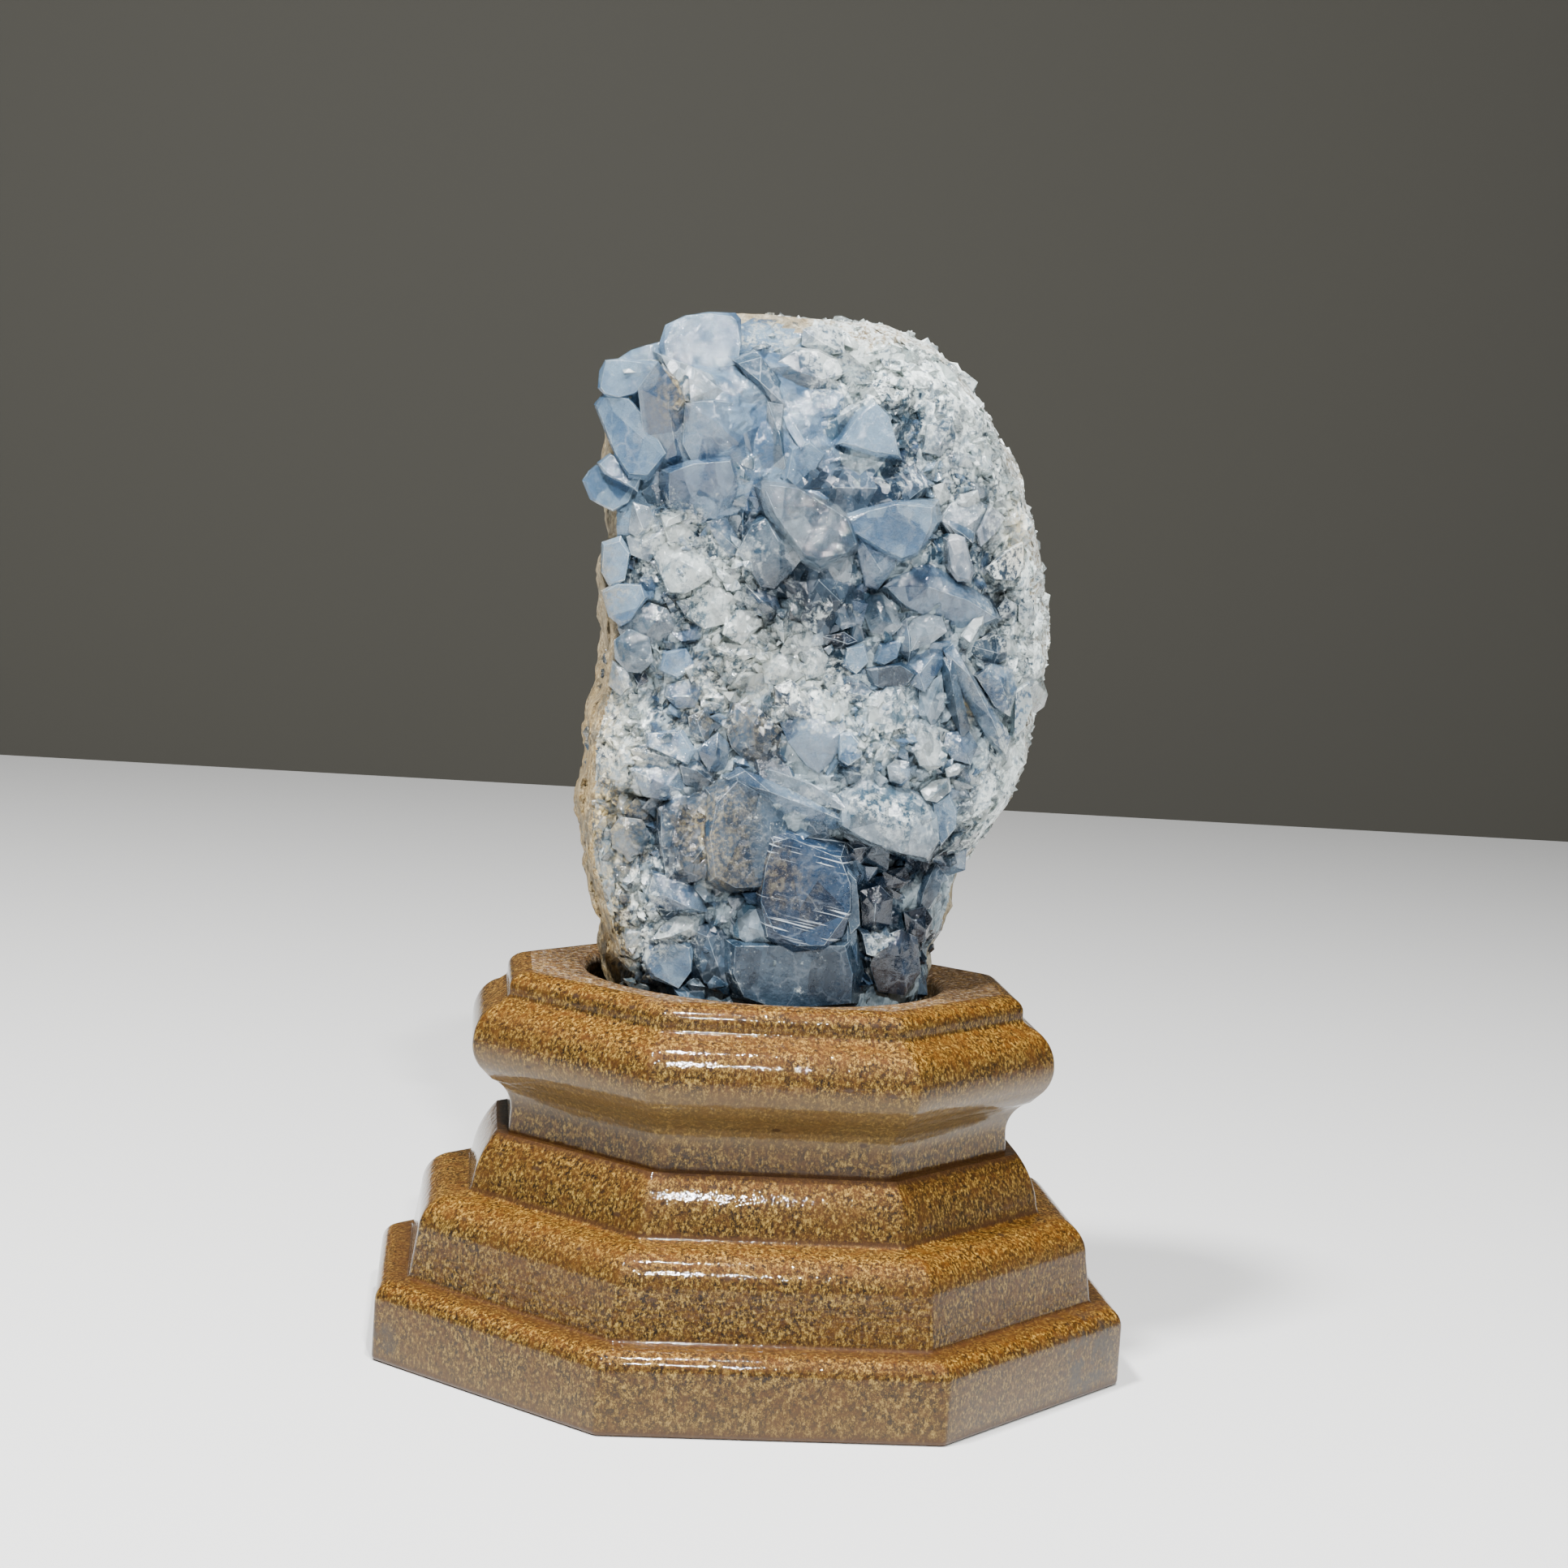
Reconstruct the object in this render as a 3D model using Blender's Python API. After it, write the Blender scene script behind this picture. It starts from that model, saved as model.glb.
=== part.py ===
"""Celestite cluster standing in the round recess of an octagonal moulded wooden stand.

Metres, +Z up. The origin is the middle of the stand's underside, and -Y is the crystal side.
Sizes below are in millimetres and go through MM once, where each mesh is made.
"""

import itertools
import math
import random

import bmesh
import bpy
import numpy as np
from mathutils import Vector, noise

MM = 0.001
GAP = 0.3  # left between the rock's foot and the recess
ROOT2 = math.sqrt(2.0)

# Stand
HALF_WIDTH = 42.0
HALF_DEPTH = 37.1
HALF_DIAGONAL = 39.2
LOWER_BOARD = 25.0
UPPER_BOARD = 18.1
STAND_TOP = LOWER_BOARD + UPPER_BOARD
CORNER_RADIUS = 1.0
CORNER_STEPS = 2
RECESS_RADIUS = 20.2
RECESS_DEPTH = 8.0
RECESS_LIP = 0.8
RECESS_SIDES = 56

# Rock body behind the crystals: height, left, right, front and back, seen from the crystal side
FOOT = STAND_TOP - RECESS_DEPTH + GAP
ROCK = (
    (FOOT, -16.6, 17.0, -15.0, 14.5),
    (STAND_TOP, -17.8, 18.3, -15.6, 16.0),
    (47.5, -18.4, 19.0, -14.6, 16.4),
    (52.0, -20.2, 20.0, -13.4, 17.0),
    (56.5, -21.6, 21.4, -12.6, 17.6),
    (60.5, -22.2, 23.6, -12.2, 18.0),
    (65.0, -22.0, 26.4, -12.0, 18.2),
    (70.0, -22.2, 28.2, -11.8, 18.4),
    (75.5, -20.9, 28.9, -11.6, 18.4),
    (81.0, -20.4, 29.8, -11.4, 18.2),
    (87.0, -21.0, 29.6, -11.2, 17.6),
    (93.0, -21.4, 28.2, -11.0, 16.6),
    (98.5, -21.8, 26.2, -10.8, 15.0),
    (103.5, -21.6, 23.9, -10.2, 13.0),
    (108.0, -20.6, 21.0, -9.4, 10.8),
    (112.0, -18.4, 18.0, -8.2, 8.4),
    (115.4, -14.2, 14.0, -6.4, 5.6),
    (117.4, -8.6, 9.0, -4.0, 3.0),
)
ROCK_TOP = 118.0
ROCK_SQUARENESS = 2.7
ROCK_SIDES = 38
CRUST_SEED = 5.0

# How each kind of crystal ends: turn about its axis, slope from square and set-back in widths
ENDINGS = {
    "plate": ((95, 7, 0.0), (205, 46, 0.30), (335, 52, 0.26), (20, 40, 0.36)),
    "roof": ((90, 30, 0.0), (270, 34, 0.0), (0, 55, 0.30), (180, 58, 0.28)),
    "point": ((85, 40, 0.0), (205, 36, 0.0), (325, 42, 0.0)),
    "dome": (
        (90, 16, 0.0), (35, 40, 0.10), (100, 52, 0.18), (160, 40, 0.12),
        (215, 50, 0.14), (275, 44, 0.16), (330, 46, 0.12),
    ),
}

# Crystals placed one by one: x, z, reach in front of the stand's middle, width, height,
# turn, lean to the right, lean upwards, kind of ending
MAIN_CRYSTALS = (
    (-12.6, 113.6, 12.6, 10.2, 8.6, 8, 0.05, 0.42, "dome"),
    (-19.6, 109.6, 12.8, 7.6, 7.0, -6, -0.50, 0.32, "plate"),
    (-16.0, 107.6, 15.2, 7.4, 6.6, 28, -0.30, 0.34, "roof"),
    (-9.4, 107.8, 17.6, 9.6, 8.4, 24, 0.10, 0.36, "plate"),
    (-12.6, 103.4, 18.6, 10.2, 8.6, -12, -0.12, -0.02, "plate"),
    (-5.2, 104.6, 18.4, 7.4, 10.4, 14, 0.30, 0.05, "roof"),
    (-18.8, 102.4, 15.8, 8.0, 10.4, 16, -0.46, 0.04, "plate"),
    (-9.6, 98.9, 18.4, 12.0, 6.0, -4, -0.05, -0.42, "plate"),
    (-21.2, 97.4, 10.6, 6.2, 5.6, -18, -0.85, -0.05, "point"),
    (-2.7, 110.6, 14.6, 9.4, 6.2, 12, 0.22, 0.40, "dome"),
    (-0.6, 103.0, 16.2, 4.6, 9.6, 10, 0.32, 0.00, "roof"),
    (5.9, 105.8, 16.8, 8.8, 7.6, -8, 0.06, 0.20, "point"),
    (6.0, 99.8, 17.0, 13.2, 8.0, -10, 0.10, 0.10, "plate"),
    (0.4, 95.2, 19.3, 10.2, 7.0, -32, -0.05, 0.05, "roof"),
    (9.6, 95.4, 18.4, 9.8, 7.8, 20, 0.15, -0.16, "dome"),
    (7.6, 91.2, 16.4, 5.4, 7.4, 12, 0.10, -0.20, "roof"),
    (-4.4, 92.6, 17.0, 8.2, 9.4, 24, -0.08, -0.10, "roof"),
    (-13.0, 91.2, 16.6, 7.4, 10.2, -22, -0.20, 0.16, "roof"),
    (-17.6, 94.2, 14.2, 4.4, 5.0, 10, -0.42, 0.10, "point"),
    (2.2, 87.6, 15.6, 9.4, 8.6, 4, 0.02, -0.08, "plate"),
    (-8.0, 85.2, 17.2, 9.2, 7.2, 26, -0.10, 0.22, "point"),
    (14.4, 88.6, 15.6, 10.8, 8.4, -14, 0.30, -0.10, "plate"),
    (13.2, 104.6, 13.4, 6.0, 5.6, 18, 0.46, 0.20, "roof"),
    (18.0, 92.6, 13.4, 4.2, 8.0, 16, 0.50, 0.02, "roof"),
    (22.4, 93.4, 10.6, 5.0, 8.4, 24, 0.80, 0.04, "roof"),
    (-19.8, 88.2, 13.2, 5.2, 9.8, -8, -0.55, -0.05, "roof"),
    (-17.4, 82.8, 14.2, 7.2, 6.8, 22, -0.40, -0.10, "plate"),
    (7.8, 82.0, 15.8, 9.6, 6.0, -16, 0.05, -0.12, "plate"),
    (15.0, 78.2, 16.6, 5.2, 14.6, 30, 0.22, -0.04, "roof"),
    (19.4, 76.2, 15.2, 5.0, 14.0, 27, 0.40, -0.02, "roof"),
    (23.6, 75.4, 12.8, 5.4, 12.2, 22, 0.66, 0.00, "roof"),
    (-5.0, 73.4, 17.2, 8.0, 9.4, -14, -0.10, 0.02, "plate"),
    (3.6, 72.2, 17.8, 9.8, 6.4, -32, 0.08, 0.14, "roof"),
    (0.6, 65.8, 18.6, 15.6, 6.6, -34, 0.02, -0.02, "roof"),
    (11.2, 63.4, 18.4, 12.4, 6.8, -20, 0.12, 0.04, "plate"),
    (15.2, 71.4, 17.2, 4.8, 4.6, 12, 0.20, 0.25, "point"),
    (10.2, 72.6, 16.6, 3.6, 7.6, -26, 0.14, 0.10, "roof"),
    (-9.6, 58.6, 18.0, 10.4, 13.6, 12, -0.20, 0.03, "plate"),
    (-3.0, 61.4, 18.2, 7.6, 8.8, -20, 0.08, 0.14, "roof"),
    (1.6, 53.8, 19.0, 13.0, 11.0, -9, 0.05, 0.10, "plate"),
    (1.8, 46.0, 18.2, 14.6, 8.8, -3, 0.02, -0.12, "plate"),
    (-7.4, 46.6, 17.2, 6.4, 8.4, 10, -0.18, -0.06, "roof"),
    (-12.2, 50.6, 16.0, 6.4, 5.2, -14, -0.36, 0.12, "point"),
    (-13.2, 44.6, 15.2, 6.0, 7.2, 14, -0.44, -0.05, "roof"),
    (10.6, 51.6, 13.6, 5.8, 8.0, 8, 0.20, -0.10, "plate"),
    (12.4, 45.2, 15.0, 7.0, 8.0, -12, 0.30, -0.10, "plate"),
    (16.4, 54.4, 12.0, 5.6, 8.4, -18, 0.62, -0.08, "roof"),
    (-17.2, 70.6, 14.6, 6.6, 6.0, 10, -0.44, 0.08, "point"),
    (-12.0, 77.2, 15.8, 8.2, 5.4, -24, -0.16, 0.20, "roof"),
    (-11.8, 67.8, 16.4, 5.6, 6.0, 30, -0.22, 0.06, "point"),
)

# Crystals scattered over the rock: smallest and largest width, spacing and reach past the rock
FRONT_CRYSTALS = {"sizes": (3.8, 6.0), "spacing": 5.8, "stand_out": 2.3, "seed": 11}
RIM_CRYSTALS = {"sizes": (2.8, 4.0), "spacing": 5.2, "stand_out": 0.9, "seed": 23}
CLEAR_OF_MAIN = 0.5

# Buried crystals that leave no closed hollow between their neighbours: x, z, reach
BURIED_CRYSTALS = ((0.2, 105.0, 12.2), (-3.4, 87.7, 12.4))
BURIED_SIZE = 3.4

LARGE_CRYSTAL = 9.0


# Outline helpers for the stand's moulding


def arc(across, up, radii, start, end, steps):
    """Points of an elliptical arc, in degrees, measured from outwards towards up."""
    points = []
    for i in range(steps + 1):
        angle = math.radians(start + (end - start) * i / steps)
        points.append((across + radii[0] * math.cos(angle), up + radii[1] * math.sin(angle)))
    return points


def stand_moulding():
    """(outwards from the base wall, height) from the underside to the top edge."""
    base_slab = (
        arc(-0.6, 0.6, (0.6, 0.6), -90, 0, 1)
        + arc(-2.2, 6.7, (2.2, 2.2), 0, 90, 3)
        + arc(-3.1, 9.4, (0.5, 0.45), 270, 180, 1)
    )
    middle_step = arc(-8.2, 14.2, (3.9, 4.1), 0, 90, 4) + arc(-9.3, 18.8, (0.5, 0.45), 270, 180, 1)
    ovolo = arc(-20.9, 18.0, (11.0, 11.0), 10, 40, 3)
    neck = [(-13.7, LOWER_BOARD)]
    cove = arc(-9.9, 27.5, (3.95, 3.95), 180, 112, 4)
    bead = arc(-13.0, 35.2, (3.85, 4.1), -48, 0, 2) + arc(-13.0, 35.2, (3.85, 4.6), 22, 75, 3)
    top_step = arc(-12.3, 40.7, (0.6, 0.7), 235, 180, 1) + arc(-15.4, 41.3, (2.5, 1.8), 0, 90, 2)
    return base_slab + middle_step + ovolo + neck + cove + bead + top_step


def octagon(outwards):
    """The stand's plan moved outwards, with rounded corners, anticlockwise from above."""
    half_x, half_y, diagonal = (h + outwards for h in (HALF_WIDTH, HALF_DEPTH, HALF_DIAGONAL))
    cut_x = ROOT2 * diagonal - half_y
    cut_y = ROOT2 * diagonal - half_x
    corners = [
        (half_x, -cut_y), (half_x, cut_y), (cut_x, half_y), (-cut_x, half_y),
        (-half_x, cut_y), (-half_x, -cut_y), (-cut_x, -half_y), (cut_x, -half_y),
    ]
    turn = math.radians(45)
    reach = CORNER_RADIUS * math.tan(turn / 2)
    inner = CORNER_RADIUS / math.cos(turn / 2)
    points = []
    for i, corner in enumerate(corners):
        here = Vector(corner)
        before = (Vector(corners[i - 1]) - here).normalized() * reach
        after = (Vector(corners[(i + 1) % len(corners)]) - here).normalized() * reach
        centre = here + (before + after).normalized() * inner
        start = here + before - centre
        for step in range(CORNER_STEPS + 1):
            angle = turn * step / CORNER_STEPS
            x = start.x * math.cos(angle) - start.y * math.sin(angle)
            y = start.x * math.sin(angle) + start.y * math.cos(angle)
            points.append((centre.x + x, centre.y + y))
    return points


# Mesh helpers


def mesh_object(name, vertices, faces, material=None):
    """A new mesh object from millimetre points."""
    mesh = bpy.data.meshes.new(name)
    mesh.from_pydata([Vector(v) * MM for v in vertices], [], faces)
    mesh.update()
    obj = bpy.data.objects.new(name, mesh)
    bpy.context.scene.collection.objects.link(obj)
    if material:
        mesh.materials.append(material)
    return obj


def stacked_rings(rings):
    """Faces that join equal rings of points from bottom to top, with both ends closed."""
    count = len(rings[0])
    faces = [tuple(reversed(range(count)))]
    for level in range(len(rings) - 1):
        low, high = level * count, (level + 1) * count
        for i in range(count):
            j = (i + 1) % count
            faces.append((low + i, low + j, high + j, high + i))
    last = (len(rings) - 1) * count
    faces.append(tuple(range(last, last + count)))
    return [p for ring in rings for p in ring], faces


def turned(name, outline):
    """A closed solid of revolution about Z from (radius, height) points, bottom to top."""
    rings = []
    for radius, height in outline:
        ring = []
        for i in range(RECESS_SIDES):
            angle = 2 * math.pi * i / RECESS_SIDES
            ring.append((radius * math.cos(angle), radius * math.sin(angle), height))
        rings.append(ring)
    return mesh_object(name, *stacked_rings(rings))


def hide_as_tool(obj):
    """Keeps a cutter or a crystal waiting to be joined out of the finished object."""
    obj.hide_render = True
    obj.display_type = "WIRE"


def cut_by(obj, cutter):
    """Takes the cutter's shape out of obj."""
    hide_as_tool(cutter)
    modifier = obj.modifiers.new("cut", "BOOLEAN")
    modifier.operation = "DIFFERENCE"
    modifier.object = cutter


def make_material(name, colour, roughness):
    """A Principled material with one colour and roughness."""
    material = bpy.data.materials.new(name)
    material.use_nodes = True
    shader = material.node_tree.nodes["Principled BSDF"]
    shader.inputs["Base Color"].default_value = (*colour, 1.0)
    shader.inputs["Roughness"].default_value = roughness
    shader.inputs["Metallic"].default_value = 0.0
    return material


# Stand


def make_stand():
    """The moulded octagon with a flat-bottomed round recess in its top."""
    material = make_material("lacquered_fibreboard", (0.36, 0.19, 0.07), 0.18)
    rings = []
    for outwards, height in stand_moulding():
        rings.append([(x, y, height) for x, y in octagon(outwards)])
    stand = mesh_object("wooden_stand", *stacked_rings(rings), material)
    lip_start = STAND_TOP - RECESS_LIP
    recess = turned(
        "recess_cutter",
        (
            (RECESS_RADIUS, STAND_TOP - RECESS_DEPTH),
            (RECESS_RADIUS, lip_start),
            (RECESS_RADIUS + RECESS_LIP + 1.0, STAND_TOP + 1.0),
        ),
    )
    cut_by(stand, recess)
    stand.data.shade_smooth()
    stand.data.set_sharp_from_angle(angle=math.radians(35))


# Rock


def rock_limits(height):
    """Left, right, front and back of the rock at a height."""
    heights = [row[0] for row in ROCK]
    return [float(np.interp(height, heights, [row[i] for row in ROCK])) for i in range(1, 5)]


def rock_point(angle, height):
    """A point of the smooth rock surface. Angle 0 is its right side, and -90 faces the viewer."""
    left, right, front, back = rock_limits(height)
    power = 2 / ROCK_SQUARENESS
    across, away = math.cos(math.radians(angle)), math.sin(math.radians(angle))
    depth = back if away > 0 else -front
    x = (left + right) / 2 + (right - left) / 2 * math.copysign(abs(across) ** power, across)
    return Vector((x, depth * math.copysign(abs(away) ** power, away), height))


def rock_normal(angle, height):
    """The direction straight out of the smooth rock surface."""
    around = rock_point(angle + 2, height) - rock_point(angle - 2, height)
    upwards = rock_point(angle, height + 1.5) - rock_point(angle, height - 1.5)
    return around.cross(upwards).normalized()


def crust_relief(point):
    """How far the rough crust stands out from the smooth rock."""
    shift = Vector((CRUST_SEED, 0.0, 0.0))
    broad = noise.noise(point / 7.5 + shift)
    fine = noise.noise(point / 3.1 - shift)
    return 0.9 * broad + 0.7 * fine


def make_rock():
    """The rough grey-white wall that the crystals grow from, flat underneath."""
    material = make_material("celestite", (0.47, 0.58, 0.70), 0.22)
    rings = []
    levels = [row[0] for row in ROCK]
    for low, high in zip(levels, levels[1:]):
        steps = max(1, round((high - low) / 3.6))
        for step in range(steps):
            rings.append(rock_ring(low + (high - low) * step / steps))
    rings.append(rock_ring(levels[-1]))
    vertices, faces = stacked_rings(rings)
    faces.pop()
    top = len(vertices)
    vertices.append((0.5, -0.4, ROCK_TOP))
    first = top - ROCK_SIDES
    for i in range(ROCK_SIDES):
        faces.append((first + i, first + (i + 1) % ROCK_SIDES, top))
    return mesh_object("celestite_cluster", vertices, faces, material)


def rock_ring(height):
    """One level ring of the rock, roughened except in the recess."""
    ring = []
    for i in range(ROCK_SIDES):
        angle = 360 * i / ROCK_SIDES
        point = rock_point(angle, height)
        fade = min(1.0, max(0.0, (height - FOOT) / RECESS_DEPTH))
        outwards = rock_normal(angle, height) * crust_relief(point) * fade
        outwards.z *= 0.3
        ring.append(tuple(point + outwards))
    return ring


# Crystals


def solid_between(planes):
    """Corners and faces of the closed shape inside all the planes, each (normal, distance)."""
    normals = np.array([p[0] for p in planes], float)
    distances = np.array([p[1] for p in planes], float)
    corners = []
    for trio in itertools.combinations(range(len(planes)), 3):
        three = normals[list(trio)]
        if abs(np.linalg.det(three)) < 1e-4:
            continue
        point = np.linalg.solve(three, distances[list(trio)])
        inside = (normals @ point <= distances + 1e-6).all()
        if inside and all(np.linalg.norm(point - c) > 1e-4 for c in corners):
            corners.append(point)
    corners = np.array(corners)
    faces = []
    for normal, distance in zip(normals, distances):
        on_plane = np.flatnonzero(abs(corners @ normal - distance) < 1e-4)
        if len(on_plane) < 3:
            continue
        middle = corners[on_plane].mean(axis=0)
        first = corners[on_plane[0]] - middle
        second = np.cross(normal, first)
        spokes = corners[on_plane] - middle
        order = np.argsort(np.arctan2(spokes @ second, spokes @ first))
        faces.append(tuple(int(i) for i in on_plane[order]))
    return corners, faces


def crystal_planes(width, height, length, ending, corner_turns, rng):
    """Planes of one crystal with its tip at the origin and its axis along +Z."""
    planes = []
    for turn, half in ((0, width / 2), (90, height / 2), (180, width / 2), (270, height / 2)):
        planes.append((turn + rng.uniform(-9, 9), 90 + rng.uniform(-6, 3), half))
    for turn in corner_turns:
        half = math.hypot(width, height) / 2 * rng.uniform(0.72, 0.9)
        planes.append((turn + rng.uniform(-10, 10), 90 + rng.uniform(-5, 3), half))
    small = min(width, height)
    for turn, slope, set_back in ENDINGS[ending]:
        slope_now = slope * rng.uniform(0.8, 1.2)
        away = set_back * small * math.sin(math.radians(slope_now))
        planes.append((turn + rng.uniform(-16, 16), slope_now, away))
    found = [(np.array((0.0, 0.0, -1.0)), length)]
    for turn, slope, distance in planes:
        a, s = math.radians(turn), math.radians(slope)
        normal = np.array((math.sin(s) * math.cos(a), math.sin(s) * math.sin(a), math.cos(s)))
        found.append((normal, distance))
    return found


def place_crystal(name, tip, axis, turn, sizes, ending, rng):
    """One closed crystal whose tip is at a point and whose axis points out of the rock."""
    width, height, length = sizes
    corner_turns = (40, 140, 220, 320) if width > LARGE_CRYSTAL else (40, 220)
    planes = crystal_planes(width, height, length, ending, corner_turns, rng)
    corners, faces = solid_between(planes)
    out = Vector(axis).normalized()
    across = Vector((0, 0, 1)).cross(out).normalized() if abs(out.z) < 0.95 else Vector((1, 0, 0))
    up = out.cross(across)
    angle = math.radians(turn)
    side = across * math.cos(angle) + up * math.sin(angle)
    other = out.cross(side)
    placed = []
    for x, y, z in corners:
        placed.append(tuple(Vector(tip) + side * float(x) + other * float(y) + out * float(z)))
    crystal = mesh_object(name, placed, faces)
    hide_as_tool(crystal)
    return crystal


def main_crystals():
    """The large crystals that give the front its look."""
    rng = random.Random(3)
    made = []
    for i, row in enumerate(MAIN_CRYSTALS):
        x, z, reach, width, height, turn, lean_x, lean_z, ending = row
        sizes = (width * 1.12, height * 1.12, reach - 3.0)
        tip, axis = (x, -reach, z), (lean_x, -1, lean_z)
        made.append(place_crystal(f"main_{i}", tip, axis, turn, sizes, ending, rng))
    return made


def buried_crystals():
    """Small crystals out of sight that fill the hollows behind the large ones."""
    rng = random.Random(7)
    made = []
    for i, (x, z, reach) in enumerate(BURIED_CRYSTALS):
        sizes = (BURIED_SIZE, BURIED_SIZE, reach - 5.0)
        made.append(place_crystal(f"buried_{i}", (x, -reach, z), (0, -1, 0), 10, sizes, "roof", rng))
    return made


def scattered_crystals(name, angles, heights, keep, rule):
    """Smaller crystals on a jittered grid over part of the rock, where keep says so."""
    rng = random.Random(rule["seed"])
    low, high = heights
    made = []
    for level in range(int((high - low) / rule["spacing"]) + 1):
        height = low + level * rule["spacing"]
        left, right, _, _ = rock_limits(height)
        step = rule["spacing"] / (math.pi * (right - left) / 2) * 180
        angle = angles[0] + step * rng.random()
        while angle < angles[1]:
            here = height + rng.uniform(-0.35, 0.35) * rule["spacing"]
            around = angle + rng.uniform(-0.3, 0.3) * step
            angle += step
            spot = rock_point(around, here)
            if not keep(spot):
                continue
            normal = rock_normal(around, here)
            lean = Vector([rng.uniform(-0.35, 0.35) for _ in range(3)])
            width = rng.uniform(*rule["sizes"])
            tip = spot + normal * rule["stand_out"] * rng.uniform(0.7, 1.5)
            sizes = (width, width * rng.uniform(0.8, 1.5), 6.0)
            ending = rng.choice(("plate", "roof", "point", "roof"))
            turn = rng.uniform(0, 180)
            label = f"{name}_{len(made)}"
            made.append(place_crystal(label, tip, normal + lean, turn, sizes, ending, rng))
    return made


def on_rim(spot):
    """True on the fine-grained band along the top, the right side and the lower left edge."""
    left, right, _, _ = rock_limits(spot.z)
    past_top = spot.z > 105.5 and spot.x > -4.0
    past_right = spot.x > right - 5.5 and spot.z > 56.0
    past_left = spot.x < left + 4.5 and spot.z < 76.0
    return past_top or past_right or past_left


def clear_of_main(spot):
    """True away from the middle of every large crystal."""
    for row in MAIN_CRYSTALS:
        near = math.hypot((spot.x - row[0]) / row[3], (spot.z - row[1]) / row[4])
        if near < CLEAR_OF_MAIN:
            return False
    return True


def make_cluster():
    """Rock and crystals joined in one solid, trimmed to drop into the recess."""
    cluster = make_rock()
    crystals = main_crystals()
    front = scattered_crystals(
        "front", (-176, -4), (47, 114), lambda p: clear_of_main(p) and not on_rim(p), FRONT_CRYSTALS
    )
    rim = scattered_crystals("rim", (-186, 14), (52, 117), on_rim, RIM_CRYSTALS)
    buried = buried_crystals()
    grown = bpy.data.collections.new("grown_crystals")
    bpy.context.scene.collection.children.link(grown)
    for crystal in crystals + front + rim + buried:
        bpy.context.scene.collection.objects.unlink(crystal)
        grown.objects.link(crystal)
    join = cluster.modifiers.new("join", "BOOLEAN")
    join.operation = "UNION"
    join.operand_type = "COLLECTION"
    join.collection = grown
    cut_by(cluster, make_socket_trimmer())
    cut_by(cluster, make_foot_trimmer())


def make_socket_trimmer():
    """A thick ring around the recess: it trims the rock's foot with a small gap to the stand."""
    outer = 70.0
    inner = RECESS_RADIUS - GAP
    bottom, top = STAND_TOP - RECESS_DEPTH - 5.0, STAND_TOP + GAP
    ring = bmesh.new()
    loops = []
    for radius, height in ((inner, bottom), (outer, bottom), (outer, top), (inner, top)):
        loop = []
        for i in range(RECESS_SIDES):
            angle = 2 * math.pi * i / RECESS_SIDES
            corner = Vector((radius * math.cos(angle), radius * math.sin(angle), height))
            loop.append(ring.verts.new(corner * MM))
        loops.append(loop)
    for k, loop in enumerate(loops):
        following = loops[(k + 1) % len(loops)]
        for i in range(RECESS_SIDES):
            j = (i + 1) % RECESS_SIDES
            ring.faces.new((loop[i], loop[j], following[j], following[i]))
    bmesh.ops.recalc_face_normals(ring, faces=ring.faces)
    mesh = bpy.data.meshes.new("socket_trimmer")
    ring.to_mesh(mesh)
    ring.free()
    trimmer = bpy.data.objects.new("socket_trimmer", mesh)
    bpy.context.scene.collection.objects.link(trimmer)
    return trimmer


def make_foot_trimmer():
    """A block under the foot that leaves the rock flat where it rests."""
    half, bottom = 60.0, FOOT - 20.0
    rings = []
    for height in (bottom, FOOT + 0.02):
        corners = ((-half, -half), (half, -half), (half, half), (-half, half))
        rings.append([(x, y, height) for x, y in corners])
    return mesh_object("foot_trimmer", *stacked_rings(rings))


def main():
    for obj in list(bpy.data.objects):
        bpy.data.objects.remove(obj)
    make_stand()
    make_cluster()


main()
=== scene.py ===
"""Looks of the celestite cluster and its moulded stand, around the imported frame.

Sizes are in millimetres, in the frame's own axes, and go through MM once, where meshes are made.
"""

import math
import random

import bmesh
import bpy
import numpy as np
from mathutils import Matrix, Vector, noise


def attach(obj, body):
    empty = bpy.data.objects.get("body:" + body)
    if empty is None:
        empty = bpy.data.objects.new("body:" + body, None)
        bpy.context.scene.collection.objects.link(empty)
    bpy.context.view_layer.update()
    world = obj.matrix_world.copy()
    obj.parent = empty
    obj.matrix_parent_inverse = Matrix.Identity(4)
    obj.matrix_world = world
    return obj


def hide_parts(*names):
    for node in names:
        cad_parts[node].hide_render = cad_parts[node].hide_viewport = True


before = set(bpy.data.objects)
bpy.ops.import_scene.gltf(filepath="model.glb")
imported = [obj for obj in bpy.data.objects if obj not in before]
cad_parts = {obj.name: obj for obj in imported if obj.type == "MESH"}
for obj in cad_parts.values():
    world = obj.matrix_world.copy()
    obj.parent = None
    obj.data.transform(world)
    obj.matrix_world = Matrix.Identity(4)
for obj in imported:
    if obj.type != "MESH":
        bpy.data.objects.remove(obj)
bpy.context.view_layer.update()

MM = 0.001
ROOT2 = math.sqrt(2.0)

# Camera: where it stands in the object's axes, how it is turned, and its focal length in pixels
PHOTO_SIZE = 1932
FOCAL_PIXELS = 3562.0
SENSOR_WIDTH = 36.0
CAMERA_BEFORE_YAW = Vector((0.942, -328.85, 96.78))
CAMERA_PITCH = 5.516
CAMERA_ROLL = 3.820
CAMERA_YAW = 6.339


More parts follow.
